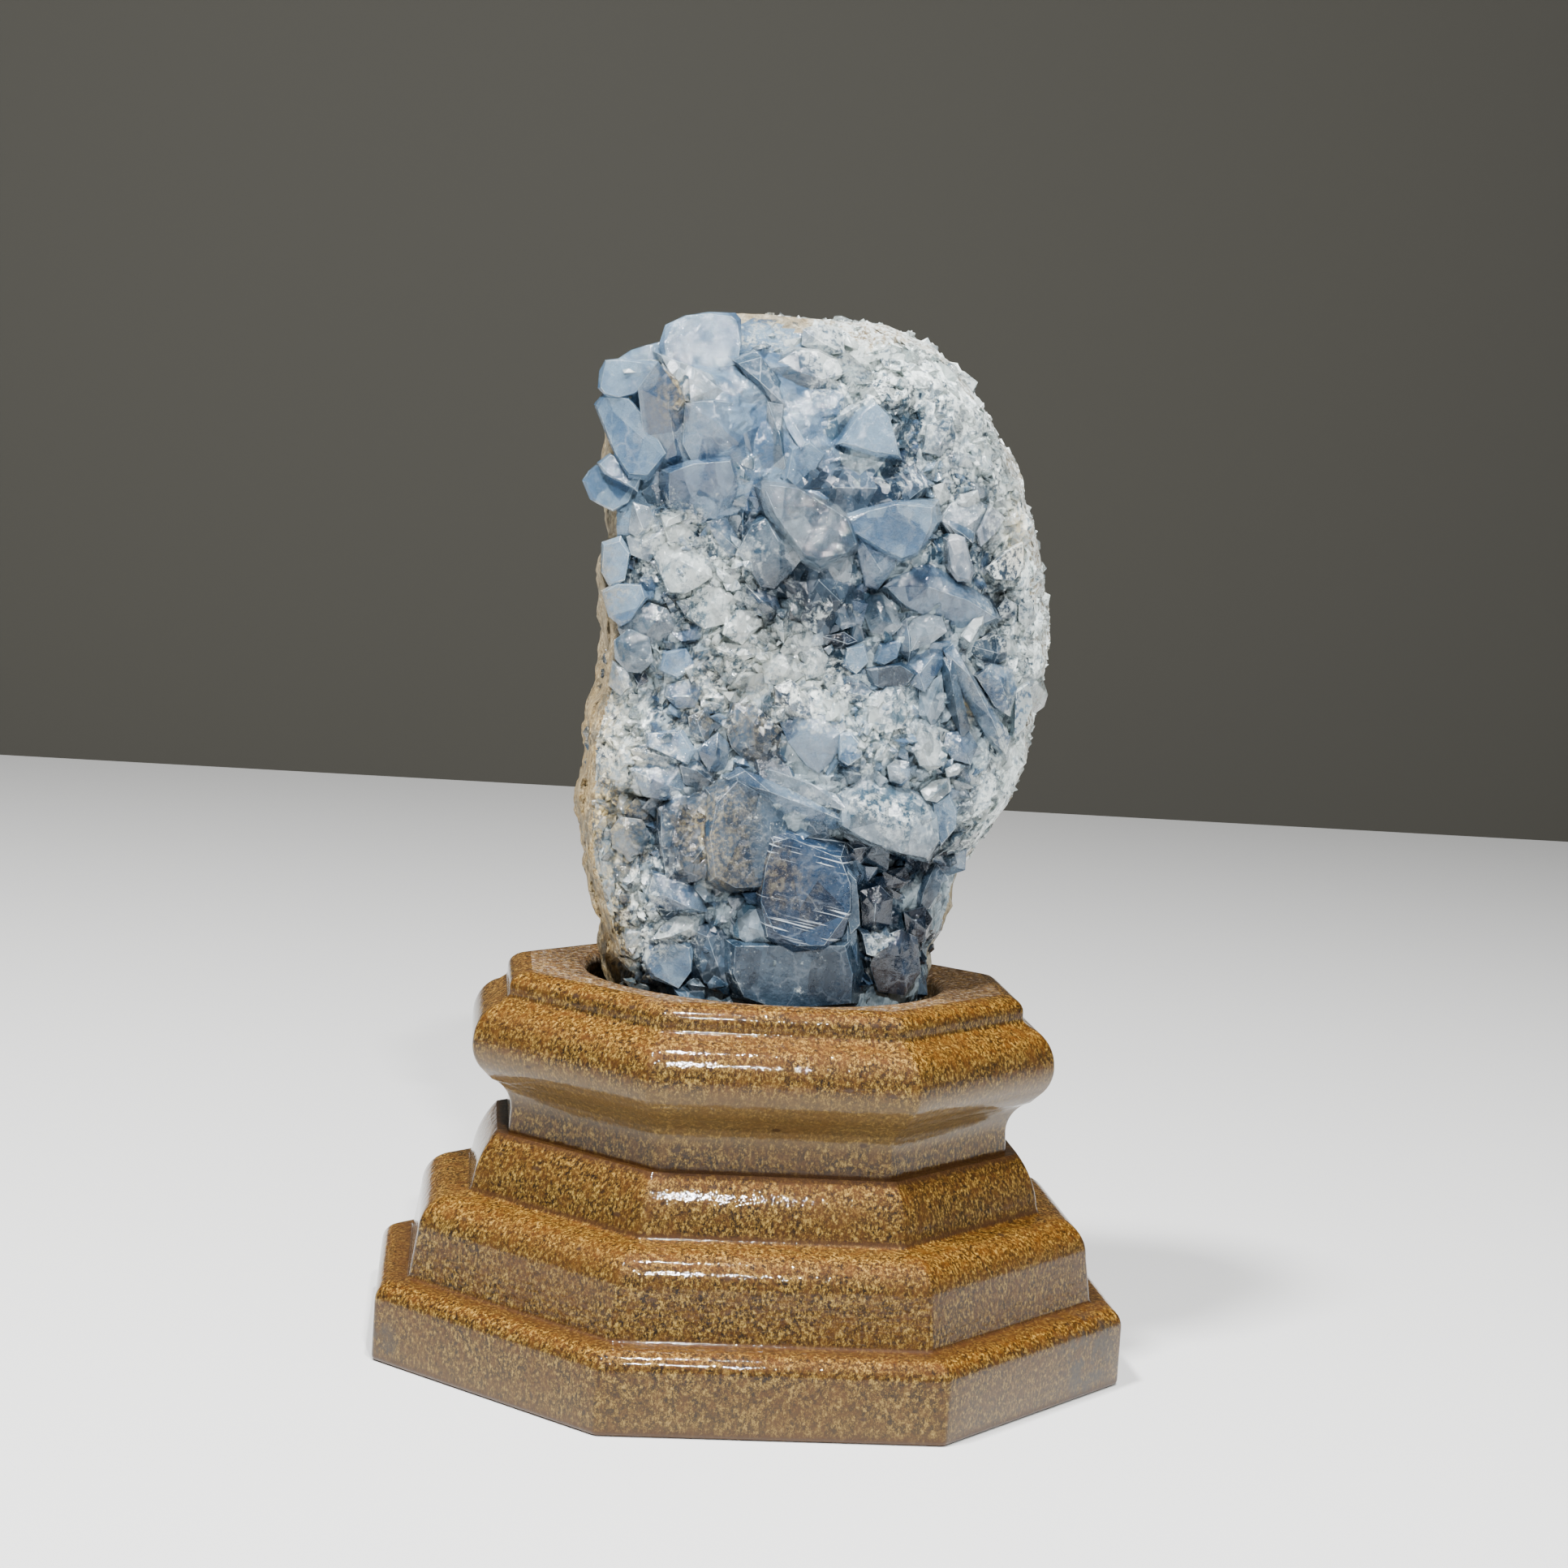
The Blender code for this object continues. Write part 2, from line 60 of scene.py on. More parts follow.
def camera_axes():
    """Position, right, up and forward of the camera in the object's axes."""
    pitch, roll, yaw = (math.radians(a) for a in (CAMERA_PITCH, CAMERA_ROLL, -CAMERA_YAW))
    turn = Matrix.Rotation(yaw, 3, "Z")
    forward = turn @ Vector((0, math.cos(pitch), -math.sin(pitch)))
    up = turn @ Vector((0, math.sin(pitch), math.cos(pitch)))
    right = turn @ Vector((1, 0, 0))
    rolled_right = right * math.cos(roll) + up * math.sin(roll)
    rolled_up = up * math.cos(roll) - right * math.sin(roll)
    return turn @ CAMERA_BEFORE_YAW, rolled_right, rolled_up, forward


CAMERA_AT, CAMERA_RIGHT, CAMERA_UP, CAMERA_FORWARD = camera_axes()


def from_photo(u, v, y):
    """The point of the plane at depth y that lies under a pixel of the photograph."""
    half = PHOTO_SIZE / 2
    ray = CAMERA_RIGHT * (u - half) - CAMERA_UP * (v - half) + CAMERA_FORWARD * FOCAL_PIXELS
    return CAMERA_AT + ray * ((y - CAMERA_AT.y) / ray.y)


# Crystals read off the photograph: tone, reach in front of the stand's middle, lean of the front
# face to the right and upwards, and the face's outline in photograph pixels
OUTLINED = (
    ("pale", 13.0, 0.05, 0.25,
     "812,425 820,400 845,388 875,383 908,384 915,392 915,425 911,450 860,468 820,455"),
    ("pale", 12.2, -0.20, 0.35, "763,441 778,431 800,424 813,421 830,440 812,462 770,460"),
    ("white", 13.9, -0.05, 1.30, "762,443 815,443 808,458 768,460"),
    ("pale", 14.2, -0.15, 0.10,
     "737,478 739,456 746,443 765,441 812,445 812,456 800,472 783,486 762,492 745,486"),
    ("pale", 14.6, -0.45, 0.00,
     "733,497 745,482 775,488 800,520 822,560 800,592 775,590 758,560 748,530"),
    ("blue", 17.5, -0.10, -0.35, "790,482 812,452 838,490 852,520 850,560 832,585 802,570"),
    ("frosted", 17.0, 0.25, 0.60, "820,440 850,458 890,467 905,490 877,498 845,492 830,462"),
    ("dusty", 17.6, -0.35, 0.20, "805,470 818,450 835,470 843,495 835,505 818,500"),
    ("blue", 17.8, 0.20, -0.15, "848,500 880,497 907,500 928,522 932,552 900,576 862,576 846,545"),
    ("pale", 11.5, -0.50, 0.20,
     "735,572 726,580 718,592 724,602 727,615 737,621 755,630 775,620 784,603 770,588"),
    ("pale", 13.2, -0.30, 0.40, "736,570 752,558 775,570 790,590 785,606 768,592 745,584"),
    ("blue", 17.6, 0.00, -0.70, "828,585 855,575 895,572 905,600 898,640 880,642 860,625 830,624"),
    ("deep", 14.0, 0.00, -0.10, "793,606 805,598 822,601 826,612 822,622 812,630 800,622"),
    ("grey", 15.0, -0.20, -0.10, "780,618 800,625 807,640 800,655 785,662 775,656 778,640"),
    ("white", 15.5, 0.10, 0.60, "815,633 835,624 847,628 838,642 821,648"),
    ("pale", 13.2, -0.40, 0.00, "742,668 765,660 778,680 770,715 752,725 741,705"),
    ("pale", 13.8, -0.30, 0.10, "741,728 760,718 790,720 800,735 785,745 778,765 765,772 750,760"),
    ("grey", 14.2, -0.10, -0.20, "765,775 780,758 800,745 820,752 830,770 820,790 800,802 775,798"),
    ("white", 16.2, -0.15, 0.25,
     "808,680 835,665 860,680 873,695 875,710 860,720 845,728 825,727 815,700"),
    ("grey", 14.6, -0.10, 0.10, "775,662 800,655 818,642 830,652 815,675 800,690 780,682"),
    ("white", 15.2, 0.10, 0.20, "817,640 845,632 862,648 852,665 826,666"),
    ("blue", 16.0, 0.30, -0.10, "873,645 895,640 910,660 920,688 905,692 885,668"),
    ("granular", 15.6, 0.00, -0.10, "900,645 903,626 918,618 936,624 941,645 926,666 919,681 909,662"),
    ("white", 16.0, -0.10, 0.20, "860,720 885,715 905,740 897,765 870,772 850,758"),
    ("grey", 14.8, 0.10, -0.30, "835,742 860,735 873,748 860,767 845,757"),
    ("white", 16.4, 0.10, 0.20, "900,740 925,745 937,770 915,792 893,780"),
    ("grey", 14.0, 0.10, 0.20,
     "962,447 985,433 1010,435 1031,445 1037,460 1020,474 1005,482 980,480 966,463"),
    ("grey", 10.0, 0.20, 0.40, "990,405 1010,398 1040,403 1042,435 1012,437 988,425"),
    ("deep", 15.4, 0.20, -0.10,
     "915,452 940,445 957,462 976,487 992,512 1000,540 986,547 960,515 935,482"),
    ("grey", 16.6, 0.25, 0.00, "948,500 966,503 971,560 966,596 950,596 944,540"),
    ("pale", 16.2, 0.00, 0.30, "966,514 974,512 992,545 986,554 970,528"),
    ("pale", 16.6, 0.10, 0.00, "975,552 998,545 1016,560 1005,582 985,602 968,590"),
    ("pale", 17.0, 0.05, 0.10, "1060,512 1078,498 1095,515 1103,540 1109,562 1080,560 1050,550 1036,546"),
    ("frosted", 15.4, -0.20, 0.30, "1010,503 1045,490 1072,492 1055,520 1033,547 1018,560 1012,530"),
    ("granular", 17.4, 0.05, 0.30,
     "985,602 1000,576 1030,560 1070,558 1112,566 1135,600 1100,626 1060,636 1040,640 1010,622"),
    ("clear", 19.4, -0.05, 0.15,
     "944,606 952,600 985,604 1002,612 1030,625 1045,640 1052,668 1040,678 1010,692 992,682 "
     "975,661 955,636"),
    ("grey", 17.4, -0.10, -0.10,
     "930,650 945,643 962,650 977,665 990,682 976,700 955,722 940,720 930,705 914,680"),
    ("granular", 16.2, 0.00, -0.05,
     "970,718 985,695 998,683 1012,692 1030,702 1050,715 1062,735 1063,752 1055,766 1015,780 "
     "985,764 972,745"),
    ("pale", 18.6, 0.10, -0.10,
     "1046,640 1070,630 1105,622 1150,625 1153,645 1142,665 1130,680 1112,688 1090,678 "
     "1050,655"),
    ("blue", 17.4, 0.00, -0.40,
     "1053,656 1065,662 1090,675 1108,690 1092,714 1085,724 1070,720 1066,705"),
    ("grey", 16.0, 0.10, 0.00, "1020,690 1050,680 1058,700 1042,722 1026,716"),
    ("grey", 16.0, 0.00, 0.10, "1064,748 1075,738 1090,735 1104,750 1110,770 1098,782 1075,777"),
    ("blue", 16.2, -0.10, 0.00, "921,722 942,725 956,736 962,752 950,762 934,756 923,740"),
    ("white", 16.5, 0.00, 0.00, "958,758 970,764 975,780 966,792 955,775"),
    ("grey", 13.2, 0.30, 0.10, "1145,525 1175,515 1178,540 1160,560 1140,555"),
    ("white", 13.5, 0.30, 0.10, "1150,600 1165,595 1172,612 1160,622 1150,618"),
    ("white", 12.8, 0.35, 0.10, "1185,610 1205,605 1208,618 1195,628 1180,620"),
    ("grey", 13.5, 0.35, 0.10, "1160,640 1175,622 1200,615 1218,625 1215,645 1203,665 1185,668 1170,655"),
    ("deep", 14.2, 0.10, 0.40, "1163,640 1172,636 1200,656 1198,668 1180,660"),
    ("column", 15.2, 0.20, 0.05, "1168,668 1180,662 1190,665 1200,705 1195,716 1180,714 1170,700"),
    ("column", 13.0, 0.50, 0.10, "1205,655 1222,625 1240,640 1225,660 1208,672"),
    ("dusty", 12.0, 0.60, 0.00, "1215,700 1240,680 1262,670 1265,700 1250,715 1225,712"),
    ("blue", 16.0, 0.10, 0.10,
     "1110,705 1150,700 1180,715 1215,740 1225,760 1200,770 1175,775 1150,750 1120,745 "
     "1100,725"),
    ("deep", 14.6, -0.10, -0.30, "1095,722 1120,715 1128,735 1115,755 1098,745"),
    ("grey", 16.0, -0.10, 0.10, "1118,780 1128,765 1145,758 1160,762 1165,778 1150,790 1125,800"),
    ("white", 15.8, 0.10, 0.50, "1187,783 1200,765 1215,755 1212,770 1195,790"),
    ("deep", 12.8, 0.30, -0.20, "1195,795 1222,782 1240,790 1242,812 1225,820 1205,815"),
    ("deep", 11.5, 0.40, 0.00, "1230,750 1240,738 1252,745 1252,760 1235,762"),
    ("grey", 9.5, 0.70, 0.00, "1255,745 1275,742 1280,765 1265,775 1255,765"),
    ("blue", 16.0, 0.25, 0.10, "1168,808 1180,800 1200,830 1228,880 1245,905 1240,925 1215,900 1185,850"),
    ("deep", 16.4, -0.10, 0.00, "1165,815 1175,812 1180,850 1195,895 1185,905 1170,870 1163,840"),
    ("blue", 13.8, 0.50, 0.10, "1205,835 1225,822 1250,828 1255,850 1245,880 1228,870"),
    ("pale", 11.5, 0.70, 0.00, "1250,850 1270,840 1275,870 1262,900 1248,910"),
    ("deep", 15.6, 0.00, 0.00, "1105,775 1118,765 1128,785 1133,800 1120,815 1108,800"),
    ("blue", 15.6, 0.00, 0.20, "1120,815 1150,800 1168,795 1165,815 1150,835 1140,850 1122,840"),
    ("frosted", 15.8, -0.10, 0.00, "1135,850 1160,835 1165,870 1150,895 1135,880"),
    ("white", 17.4, 0.10, 0.20, "1128,925 1138,896 1150,900 1168,928 1162,942 1150,948 1135,942"),
    ("blue", 16.0, 0.10, 0.10, "1168,905 1195,903 1205,920 1195,940 1175,935 1165,920"),
    ("white", 16.4, 0.10, 0.30, "1166,948 1180,942 1190,945 1180,955 1168,957"),
    ("white", 17.2, 0.10, 0.30, "1078,935 1090,905 1103,898 1100,915 1088,935"),
    ("white", 16.8, 0.00, 0.30, "1075,870 1095,850 1115,848 1118,870 1110,895 1085,900 1072,890"),
    ("grey", 17.0, 0.00, 0.10, "1095,945 1105,938 1120,940 1122,955 1110,965 1098,962"),
    ("white", 17.0, 0.10, 0.20, "1137,975 1150,965 1170,960 1172,975 1155,988 1142,985"),
    ("blue", 17.6, -0.05, 0.10,
     "965,890 985,882 1000,875 1015,885 1040,900 1035,920 1025,935 1010,950 995,940 975,915"),
    ("pale", 17.2, 0.10, 0.10, "1035,905 1050,905 1062,918 1062,932 1045,942 1035,935"),
    ("granular", 17.2, -0.10, -0.30,
     "960,850 978,842 1010,868 1047,902 1038,903 1010,885 980,880 960,878"),
    ("granular", 16.8, -0.05, 0.00,
     "905,870 930,872 950,890 962,900 962,925 945,935 925,940 905,920 897,895"),
    ("dusty", 16.5, 0.00, 0.30, "930,935 955,930 970,940 980,960 960,970 935,965"),
    ("blue", 18.2, 0.05, -0.10,
     "905,965 925,955 960,975 1000,985 1040,1000 1045,1015 1025,1022 985,1022 960,1005 935,985"),
    ("frosted", 17.9, 0.00, 0.60, "915,950 950,960 1000,965 1040,985 1045,1000 1000,988 950,975"),
    ("frosted", 18.6, 0.10, 0.15,
     "1045,985 1075,965 1110,975 1140,985 1152,1010 1155,1035 1140,1055 1110,1048 1075,1035 "
     "1045,1018"),
    ("pale", 16.0, 0.30, 0.00, "1150,990 1170,982 1180,1000 1178,1020 1160,1040 1150,1020"),
    ("granular", 17.8, -0.20, 0.05,
     "820,1005 845,990 880,985 900,1000 905,1040 880,1075 850,1085 825,1080 820,1040"),
    ("dusty", 18.3, 0.10, 0.10,
     "880,985 910,965 950,985 965,1010 970,1035 945,1065 935,1090 905,1095 880,1080 872,1030"),
    ("striated", 19.2, 0.02, 0.10,
     "955,1040 975,1035 1035,1060 1045,1090 1045,1120 1035,1150 1015,1165 980,1168 950,1150 "
     "940,1110 945,1070"),
    ("blue", 17.2, -0.10, -0.10,
     "808,1080 835,1085 860,1100 870,1125 845,1115 820,1118 805,1125 803,1100"),
    ("white", 16.8, -0.10, 0.30, "806,1158 820,1140 850,1122 860,1135 858,1150 840,1160"),
    ("deep", 15.8, -0.10, -0.10, "810,1118 830,1110 850,1115 850,1122 820,1142 806,1140"),
    ("frosted", 18.0, -0.10, 0.10, "905,1125 925,1115 950,1125 965,1150 950,1165 920,1160 903,1150"),
    ("dusty", 18.2, 0.00, -0.10,
     "905,1165 960,1170 1010,1170 1040,1165 1050,1200 1045,1235 1000,1240 950,1238 915,1230 "
     "905,1200"),
    ("blue", 17.6, 0.30, 0.00, "1035,1165 1048,1130 1056,1150 1058,1190 1050,1200"),
    ("dusty", 17.8, 0.30, 0.00, "1043,1070 1055,1085 1058,1110 1060,1140 1048,1150 1042,1110"),
    ("granular", 17.0, -0.05, 0.00, "855,1150 880,1140 905,1155 905,1195 895,1220 870,1210 855,1180"),
    ("pale", 15.8, -0.30, 0.05, "800,1165 830,1160 852,1165 850,1195 835,1215 805,1205 795,1185"),
    ("dusty", 16.5, 0.10, 0.10, "1062,1150 1072,1152 1082,1165 1078,1178 1068,1175"),
    ("dark", 15.0, 0.10, -0.10, "1062,1100 1085,1095 1100,1110 1098,1140 1080,1155 1065,1140"),
    ("dark", 15.2, 0.30, 0.00, "1085,1160 1110,1150 1130,1160 1135,1200 1115,1225 1085,1220 1075,1190"),
    ("deep", 10.5, 0.40, 0.00, "1128,1100 1142,1075 1154,1068 1164,1080 1158,1100 1146,1118 1134,1122"),
    ("dark", 12.0, 0.40, 0.00, "1115,1125 1140,1120 1150,1135 1140,1160 1120,1160"),
    ("dark", 14.5, 0.00, 0.00, "1045,1040 1060,1035 1075,1045 1060,1065 1048,1055"),
    ("dark", 13.5, 0.10, 0.00, "1090,1075 1115,1070 1122,1085 1110,1095 1090,1092"),
    ("grey", 14.6, -0.30, 0.00, "765,1010 790,1012 800,1030 790,1050 775,1055 757,1045 755,1025"),
    ("deep", 13.5, -0.10, -0.10, "770,1000 785,985 800,995 803,1012 785,1018 772,1012"),
    ("blue", 15.4, -0.10, 0.10, "780,950 800,940 840,945 845,975 820,985 795,980"),
    ("pale", 15.6, -0.10, 0.30, "800,905 840,900 855,925 845,940 820,925 800,920"),
    ("grey", 15.0, 0.00, -0.20, "780,925 800,918 825,922 830,935 815,945 790,945"),
    ("deep", 15.8, -0.10, 0.00, "850,885 870,875 880,895 870,915 852,905"),
    ("deep", 15.8, 0.10, 0.00, "840,945 860,935 880,950 885,975 865,980 845,965"),
    ("blue", 16.2, 0.10, 0.00, "860,925 885,905 900,920 895,950 875,950"),
    ("grey", 14.2, -0.40, 0.00, "755,815 770,820 780,845 765,858 750,845"),
    ("grey", 14.8, -0.20, 0.00, "757,790 775,775 800,785 805,815 790,830 772,828 758,812"),
    ("dark", 13.0, 0.00, 0.00, "780,832 795,826 800,840 785,848"),
    ("pale", 15.2, 0.00, 0.10, "820,805 845,800 855,820 835,835 815,825"),
    ("white", 15.6, 0.00, 0.30, "845,825 855,815 862,830 852,840"),
    ("blue", 15.4, 0.00, 0.00, "825,845 850,838 865,850 855,870 835,872 822,858"),
    ("white", 16.0, -0.10, 0.10, "870,790 900,785 930,790 935,805 910,815 880,808"),
    ("white", 16.0, 0.00, 0.20, "940,810 965,800 985,805 990,830 970,845 945,840"),
    ("white", 16.0, 0.10, 0.20, "985,800 1005,795 1020,810 1015,830 995,835"),
    ("dark", 15.4, 0.00, -0.50, "1015,785 1040,780 1055,790 1045,805 1020,800"),
    ("pale", 16.0, 0.00, 0.10, "1045,800 1065,795 1070,815 1055,830 1040,820"),
    ("pale", 15.6, 0.00, 0.10, "1085,795 1110,790 1105,810 1090,820 1078,815"),
    ("dusty", 15.6, 0.00, -0.30, "1070,825 1110,818 1130,830 1120,845 1095,850 1075,845"),
    ("deep", 15.6, 0.00, 0.00, "1055,835 1075,850 1070,865 1045,865 1035,850"),
)

# Outlines grow a little so that neighbours run into each other, as intergrown crystals do
OUTLINE_GROWTH = 1.10

# These keep one flat face; the others end in a ridge
FLAT_TONES = ("pale", "clear", "striated", "column", "dusty")

# Parts of the front that differ from the plain blue: u, v, half width and half height in photo
# pixels, and strength
SUGARED = (
    (835, 655, 40, 35, 0.8), (880, 715, 60, 45, 0.9), (935, 790, 60, 45, 0.95), (1005, 850, 60, 45, 0.7),
    (1080, 900, 50, 50, 0.55), (1150, 930, 45, 40, 0.4), (800, 700, 40, 60, 0.35),
    (870, 850, 60, 50, 0.35), (1120, 1010, 60, 40, 0.4), (800, 1130, 30, 60, 0.7),
    (765, 900, 35, 55, 0.9), (830, 1155, 40, 25, 0.5), (790, 940, 60, 40, 0.5), (960, 410, 60, 25, 0.5),
    (1110, 420, 70, 60, 0.75), (1180, 560, 60, 90, 0.55), (1040, 990, 90, 14, 0.5),
    (1085, 1165, 14, 22, 0.9), (1250, 700, 40, 160, 0.5),
)
# Painted shade: these places are darkened in colour. They are the deep gaps between crystals, the cavity
# at the lower right and the lower front. The strongest also sink the crystal mass back.
PAINTED_SHADE_PLACES = (
    (1112, 1110, 66, 95, 1.0), (1150, 1190, 60, 60, 1.0), (1010, 1215, 120, 36, 0.6),
    (785, 1000, 26, 20, 0.9), (968, 735, 55, 42, 0.95), (1077, 733, 14, 14, 1.0),
    (1245, 745, 40, 26, 0.6), (880, 960, 50, 40, 0.7), (990, 1090, 60, 50, 0.75),
    (1045, 590, 75, 36, 0.75), (865, 480, 60, 34, 0.45), (1150, 730, 60, 26, 0.6),
    (810, 610, 26, 18, 0.5), (840, 1205, 40, 16, 0.6), (900, 1100, 130, 70, 0.6),
    (870, 1040, 70, 50, 0.5), (1180, 870, 60, 60, 0.5), (1150, 590, 50, 50, 0.45),
    (950, 960, 120, 50, 0.5), (800, 760, 30, 30, 0.3), (1000, 500, 40, 60, 0.25),
    (1210, 650, 40, 60, 0.4), (1090, 820, 50, 24, 0.4),
)
STAINED = (
    (824, 480, 24, 26, 0.6), (885, 1030, 30, 45, 0.55), (925, 1050, 22, 26, 0.35),
    (1197, 862, 10, 24, 0.8), (1268, 655, 14, 40, 0.9), (745, 880, 24, 56, 0.9), (738, 1000, 40, 56, 1.0),
    (755, 1170, 28, 60, 0.9), (745, 1090, 24, 40, 0.6), (900, 850, 90, 70, 0.25), (960, 385, 30, 8, 0.7),
    (738, 760, 14, 90, 0.9), (720, 1000, 26, 60, 0.9), (770, 930, 30, 24, 0.6), (765, 1060, 26, 26, 0.6),
)

TONES = (
    "pale", "blue", "clear", "grey", "deep", "dark", "white", "frosted",
    "granular", "dusty", "striated", "column", "edge", "seam",
)

STAND_TOP = 43.1
RECESS_RADIUS = 20.2
RECESS_DEPTH = 8.0
GAP = 0.3  # left between the rock's foot and the recess
FOOT = STAND_TOP - RECESS_DEPTH + GAP

# Rock body behind the crystals: height, left, right, front and back, seen from the crystal side
ROCK = (
    (FOOT, -16.6, 17.0, -15.0, 14.5),
    (STAND_TOP, -17.8, 18.3, -15.6, 16.0),
    (47.5, -18.4, 19.0, -14.6, 16.4),
    (52.0, -20.2, 20.0, -13.4, 17.0),
    (56.5, -21.6, 21.4, -12.6, 17.6),
    (60.5, -22.2, 23.6, -12.2, 18.0),
    (65.0, -22.0, 26.4, -12.0, 18.2),
    (70.0, -22.2, 28.2, -11.8, 18.4),
    (75.5, -20.9, 28.9, -11.6, 18.4),
    (81.0, -20.4, 29.8, -11.4, 18.2),
    (87.0, -21.0, 29.6, -11.2, 17.6),
    (93.0, -21.4, 28.2, -11.0, 16.6),
    (98.5, -21.8, 26.2, -10.8, 15.0),
    (103.5, -21.6, 23.9, -10.2, 13.0),
    (108.0, -20.6, 21.0, -9.4, 10.8),
    (112.0, -18.4, 18.0, -8.2, 8.4),
    (115.4, -14.2, 14.0, -6.4, 5.6),
    (117.4, -8.6, 9.0, -4.0, 3.0),
)
ROCK_TOP = 118.0
ROCK_SQUARENESS = 2.7
ROCK_SIDES = 260
ROCK_LEVELS = 170
CRUST_FRONT = -6.5  # the crystals give way to the crust about here, seen from the side
DRUSE_TOP = 117.3
FILL_TOP = 115.0
CRYSTAL_SEED = 12
FACET_SEED = 12  # without it noise_vector, and so the facets, would change from run to run
WORN_EDGE = 0.00004  # metres
SHARP_ANGLE = math.radians(38)

# How far the crystal mass lies behind the faces of the large crystals
MASS_SUNK = 0.9
MASS_SUNK_TOP_LEFT = 0.3


# Materials


class NodeMaterial:
    """A material, with short ways to add and join its nodes. Scales are in repeats per metre."""

    def __init__(self, name):
        self.material = bpy.data.materials.new(name)
        self.material.use_nodes = True
        self.nodes = self.material.node_tree.nodes
        self.inputs = self.nodes["Principled BSDF"].inputs
        # Object coordinates are the same for every piece, because each lies at the origin
        self.where = self.add("ShaderNodeTexCoord").outputs["Object"]

    def join(self, source, socket):
        """Links a socket, or sets a number, a direction or a colour."""
        if isinstance(source, bpy.types.NodeSocket):
            self.material.node_tree.links.new(source, socket)
        elif socket.type == "RGBA":
            socket.default_value = (*source, 1.0)
        else:
            socket.default_value = source

    def add(self, kind, inputs=None, **settings):
        """Adds a node, with its settings and then its inputs."""
        made = self.nodes.new(kind)
        for name, value in settings.items():
            setattr(made, name, value)
        for name, value in (inputs or {}).items():
            self.join(value, made.inputs[name])
        return made

    def vector_math(self, operation, first, second):
        return self.add("ShaderNodeVectorMath", {0: first, 1: second}, operation=operation).outputs

    def math(self, operation, first, second=0.0):
        return self.add("ShaderNodeMath", {0: first, 1: second}, operation=operation).outputs[0]

    def times(self, first, *others):
        """The product of sockets and numbers."""
        for other in others:
            first = self.math("MULTIPLY", first, other)
        return first

    def plus(self, first, *others):
        """The sum of sockets and numbers."""
        for other in others:
            first = self.math("ADD", first, other)
        return first

    def split(self, colour):
        """Red, green and blue of a colour."""
        return self.add("ShaderNodeSeparateColor", {"Color": colour}).outputs

    def noise(self, scale, detail=3.0, rough=0.55, distortion=0.0, where=None):
        """Noise from 0 to 1."""
        numbers = {"Scale": scale, "Detail": detail, "Roughness": rough, "Distortion": distortion}
        return self.add("ShaderNodeTexNoise", {"Vector": where or self.where, **numbers}).outputs["Fac"]

    def step(self, value, low, high, out_low=0.0, out_high=1.0):
        """A smooth change from out_low to out_high between low and high."""
        numbers = {"From Min": low, "From Max": high, "To Min": out_low, "To Max": out_high}
        inputs = {"Value": value, **numbers}
        return self.add("ShaderNodeMapRange", inputs, interpolation_type="SMOOTHSTEP").outputs["Result"]

    def ramp(self, value, *stops):
        """A colour ramp. Each stop is a position and a colour."""
        made = self.add("ShaderNodeValToRGB", {"Fac": value})
        elements = made.color_ramp.elements
        while len(elements) < len(stops):
            elements.new(0.5)
        for element, (at, colour) in zip(elements, stops):
            element.position = at
            element.color = (*colour, 1.0)
        return made.outputs["Color"]

    def mix(self, share, first, second, mode="MIX"):
        """Two colours mixed."""
        inputs = {"Factor": share, "A": first, "B": second}
        return self.add("ShaderNodeMix", inputs, data_type="RGBA", blend_type=mode).outputs["Result"]

    def stretched(self, scale, rotation=(0.0, 0.0, 0.0)):
        """Object coordinates scaled and turned."""
        inputs = {"Vector": self.where, "Scale": scale, "Rotation": rotation}
        return self.add("ShaderNodeMapping", inputs).outputs["Vector"]

    def facets(self, where, scale, slope):
        """Height in metres of small flat facets, each tilted its own way, and a colour for each."""
        inputs = {"Vector": where, "Scale": scale, "Randomness": 1.0}
        cells = self.add("ShaderNodeTexVoronoi", inputs).outputs
        away = self.vector_math("SUBTRACT", where, cells["Position"])["Vector"]
        tilt = self.vector_math("SUBTRACT", cells["Color"], (0.5, 0.5, 0.5))["Vector"]
        height = self.vector_math("DOT_PRODUCT", away, tilt)["Value"]
        return self.times(height, 2.0 * slope), cells["Color"]

    def striped(self, degrees):
        """Object coordinates drawn out along lines that tilt on the front, for striations."""
        sine, cosine = math.sin(math.radians(degrees)), math.cos(math.radians(degrees))
        across = self.vector_math("DOT_PRODUCT", self.where, (sine, 0.0, cosine))["Value"]
        along = self.vector_math("DOT_PRODUCT", self.where, (cosine, 0.0, -sine))["Value"]
        inputs = {"X": across, "Y": self.times(along, 0.05)}
        return self.add("ShaderNodeCombineXYZ", inputs).outputs["Vector"]

    def bump(self, height, depth, socket="Normal"):
        """Bump on the shader, with its depth in metres."""
        made = self.add("ShaderNodeBump", {"Height": height, "Strength": 1.0, "Distance": depth})
        self.join(made.outputs["Normal"], self.inputs[socket])

    def set(self, **values):
        """Sets or links inputs of the shader, their spaces written as underscores."""
        for name, value in values.items():
            self.join(value, self.inputs[name.replace("_", " ")])


# Tilt of the fine lines on the striated crystal and on the columns, in degrees from level
STRIATION_TILT = {"striated": 11.0, "column": 86.0}

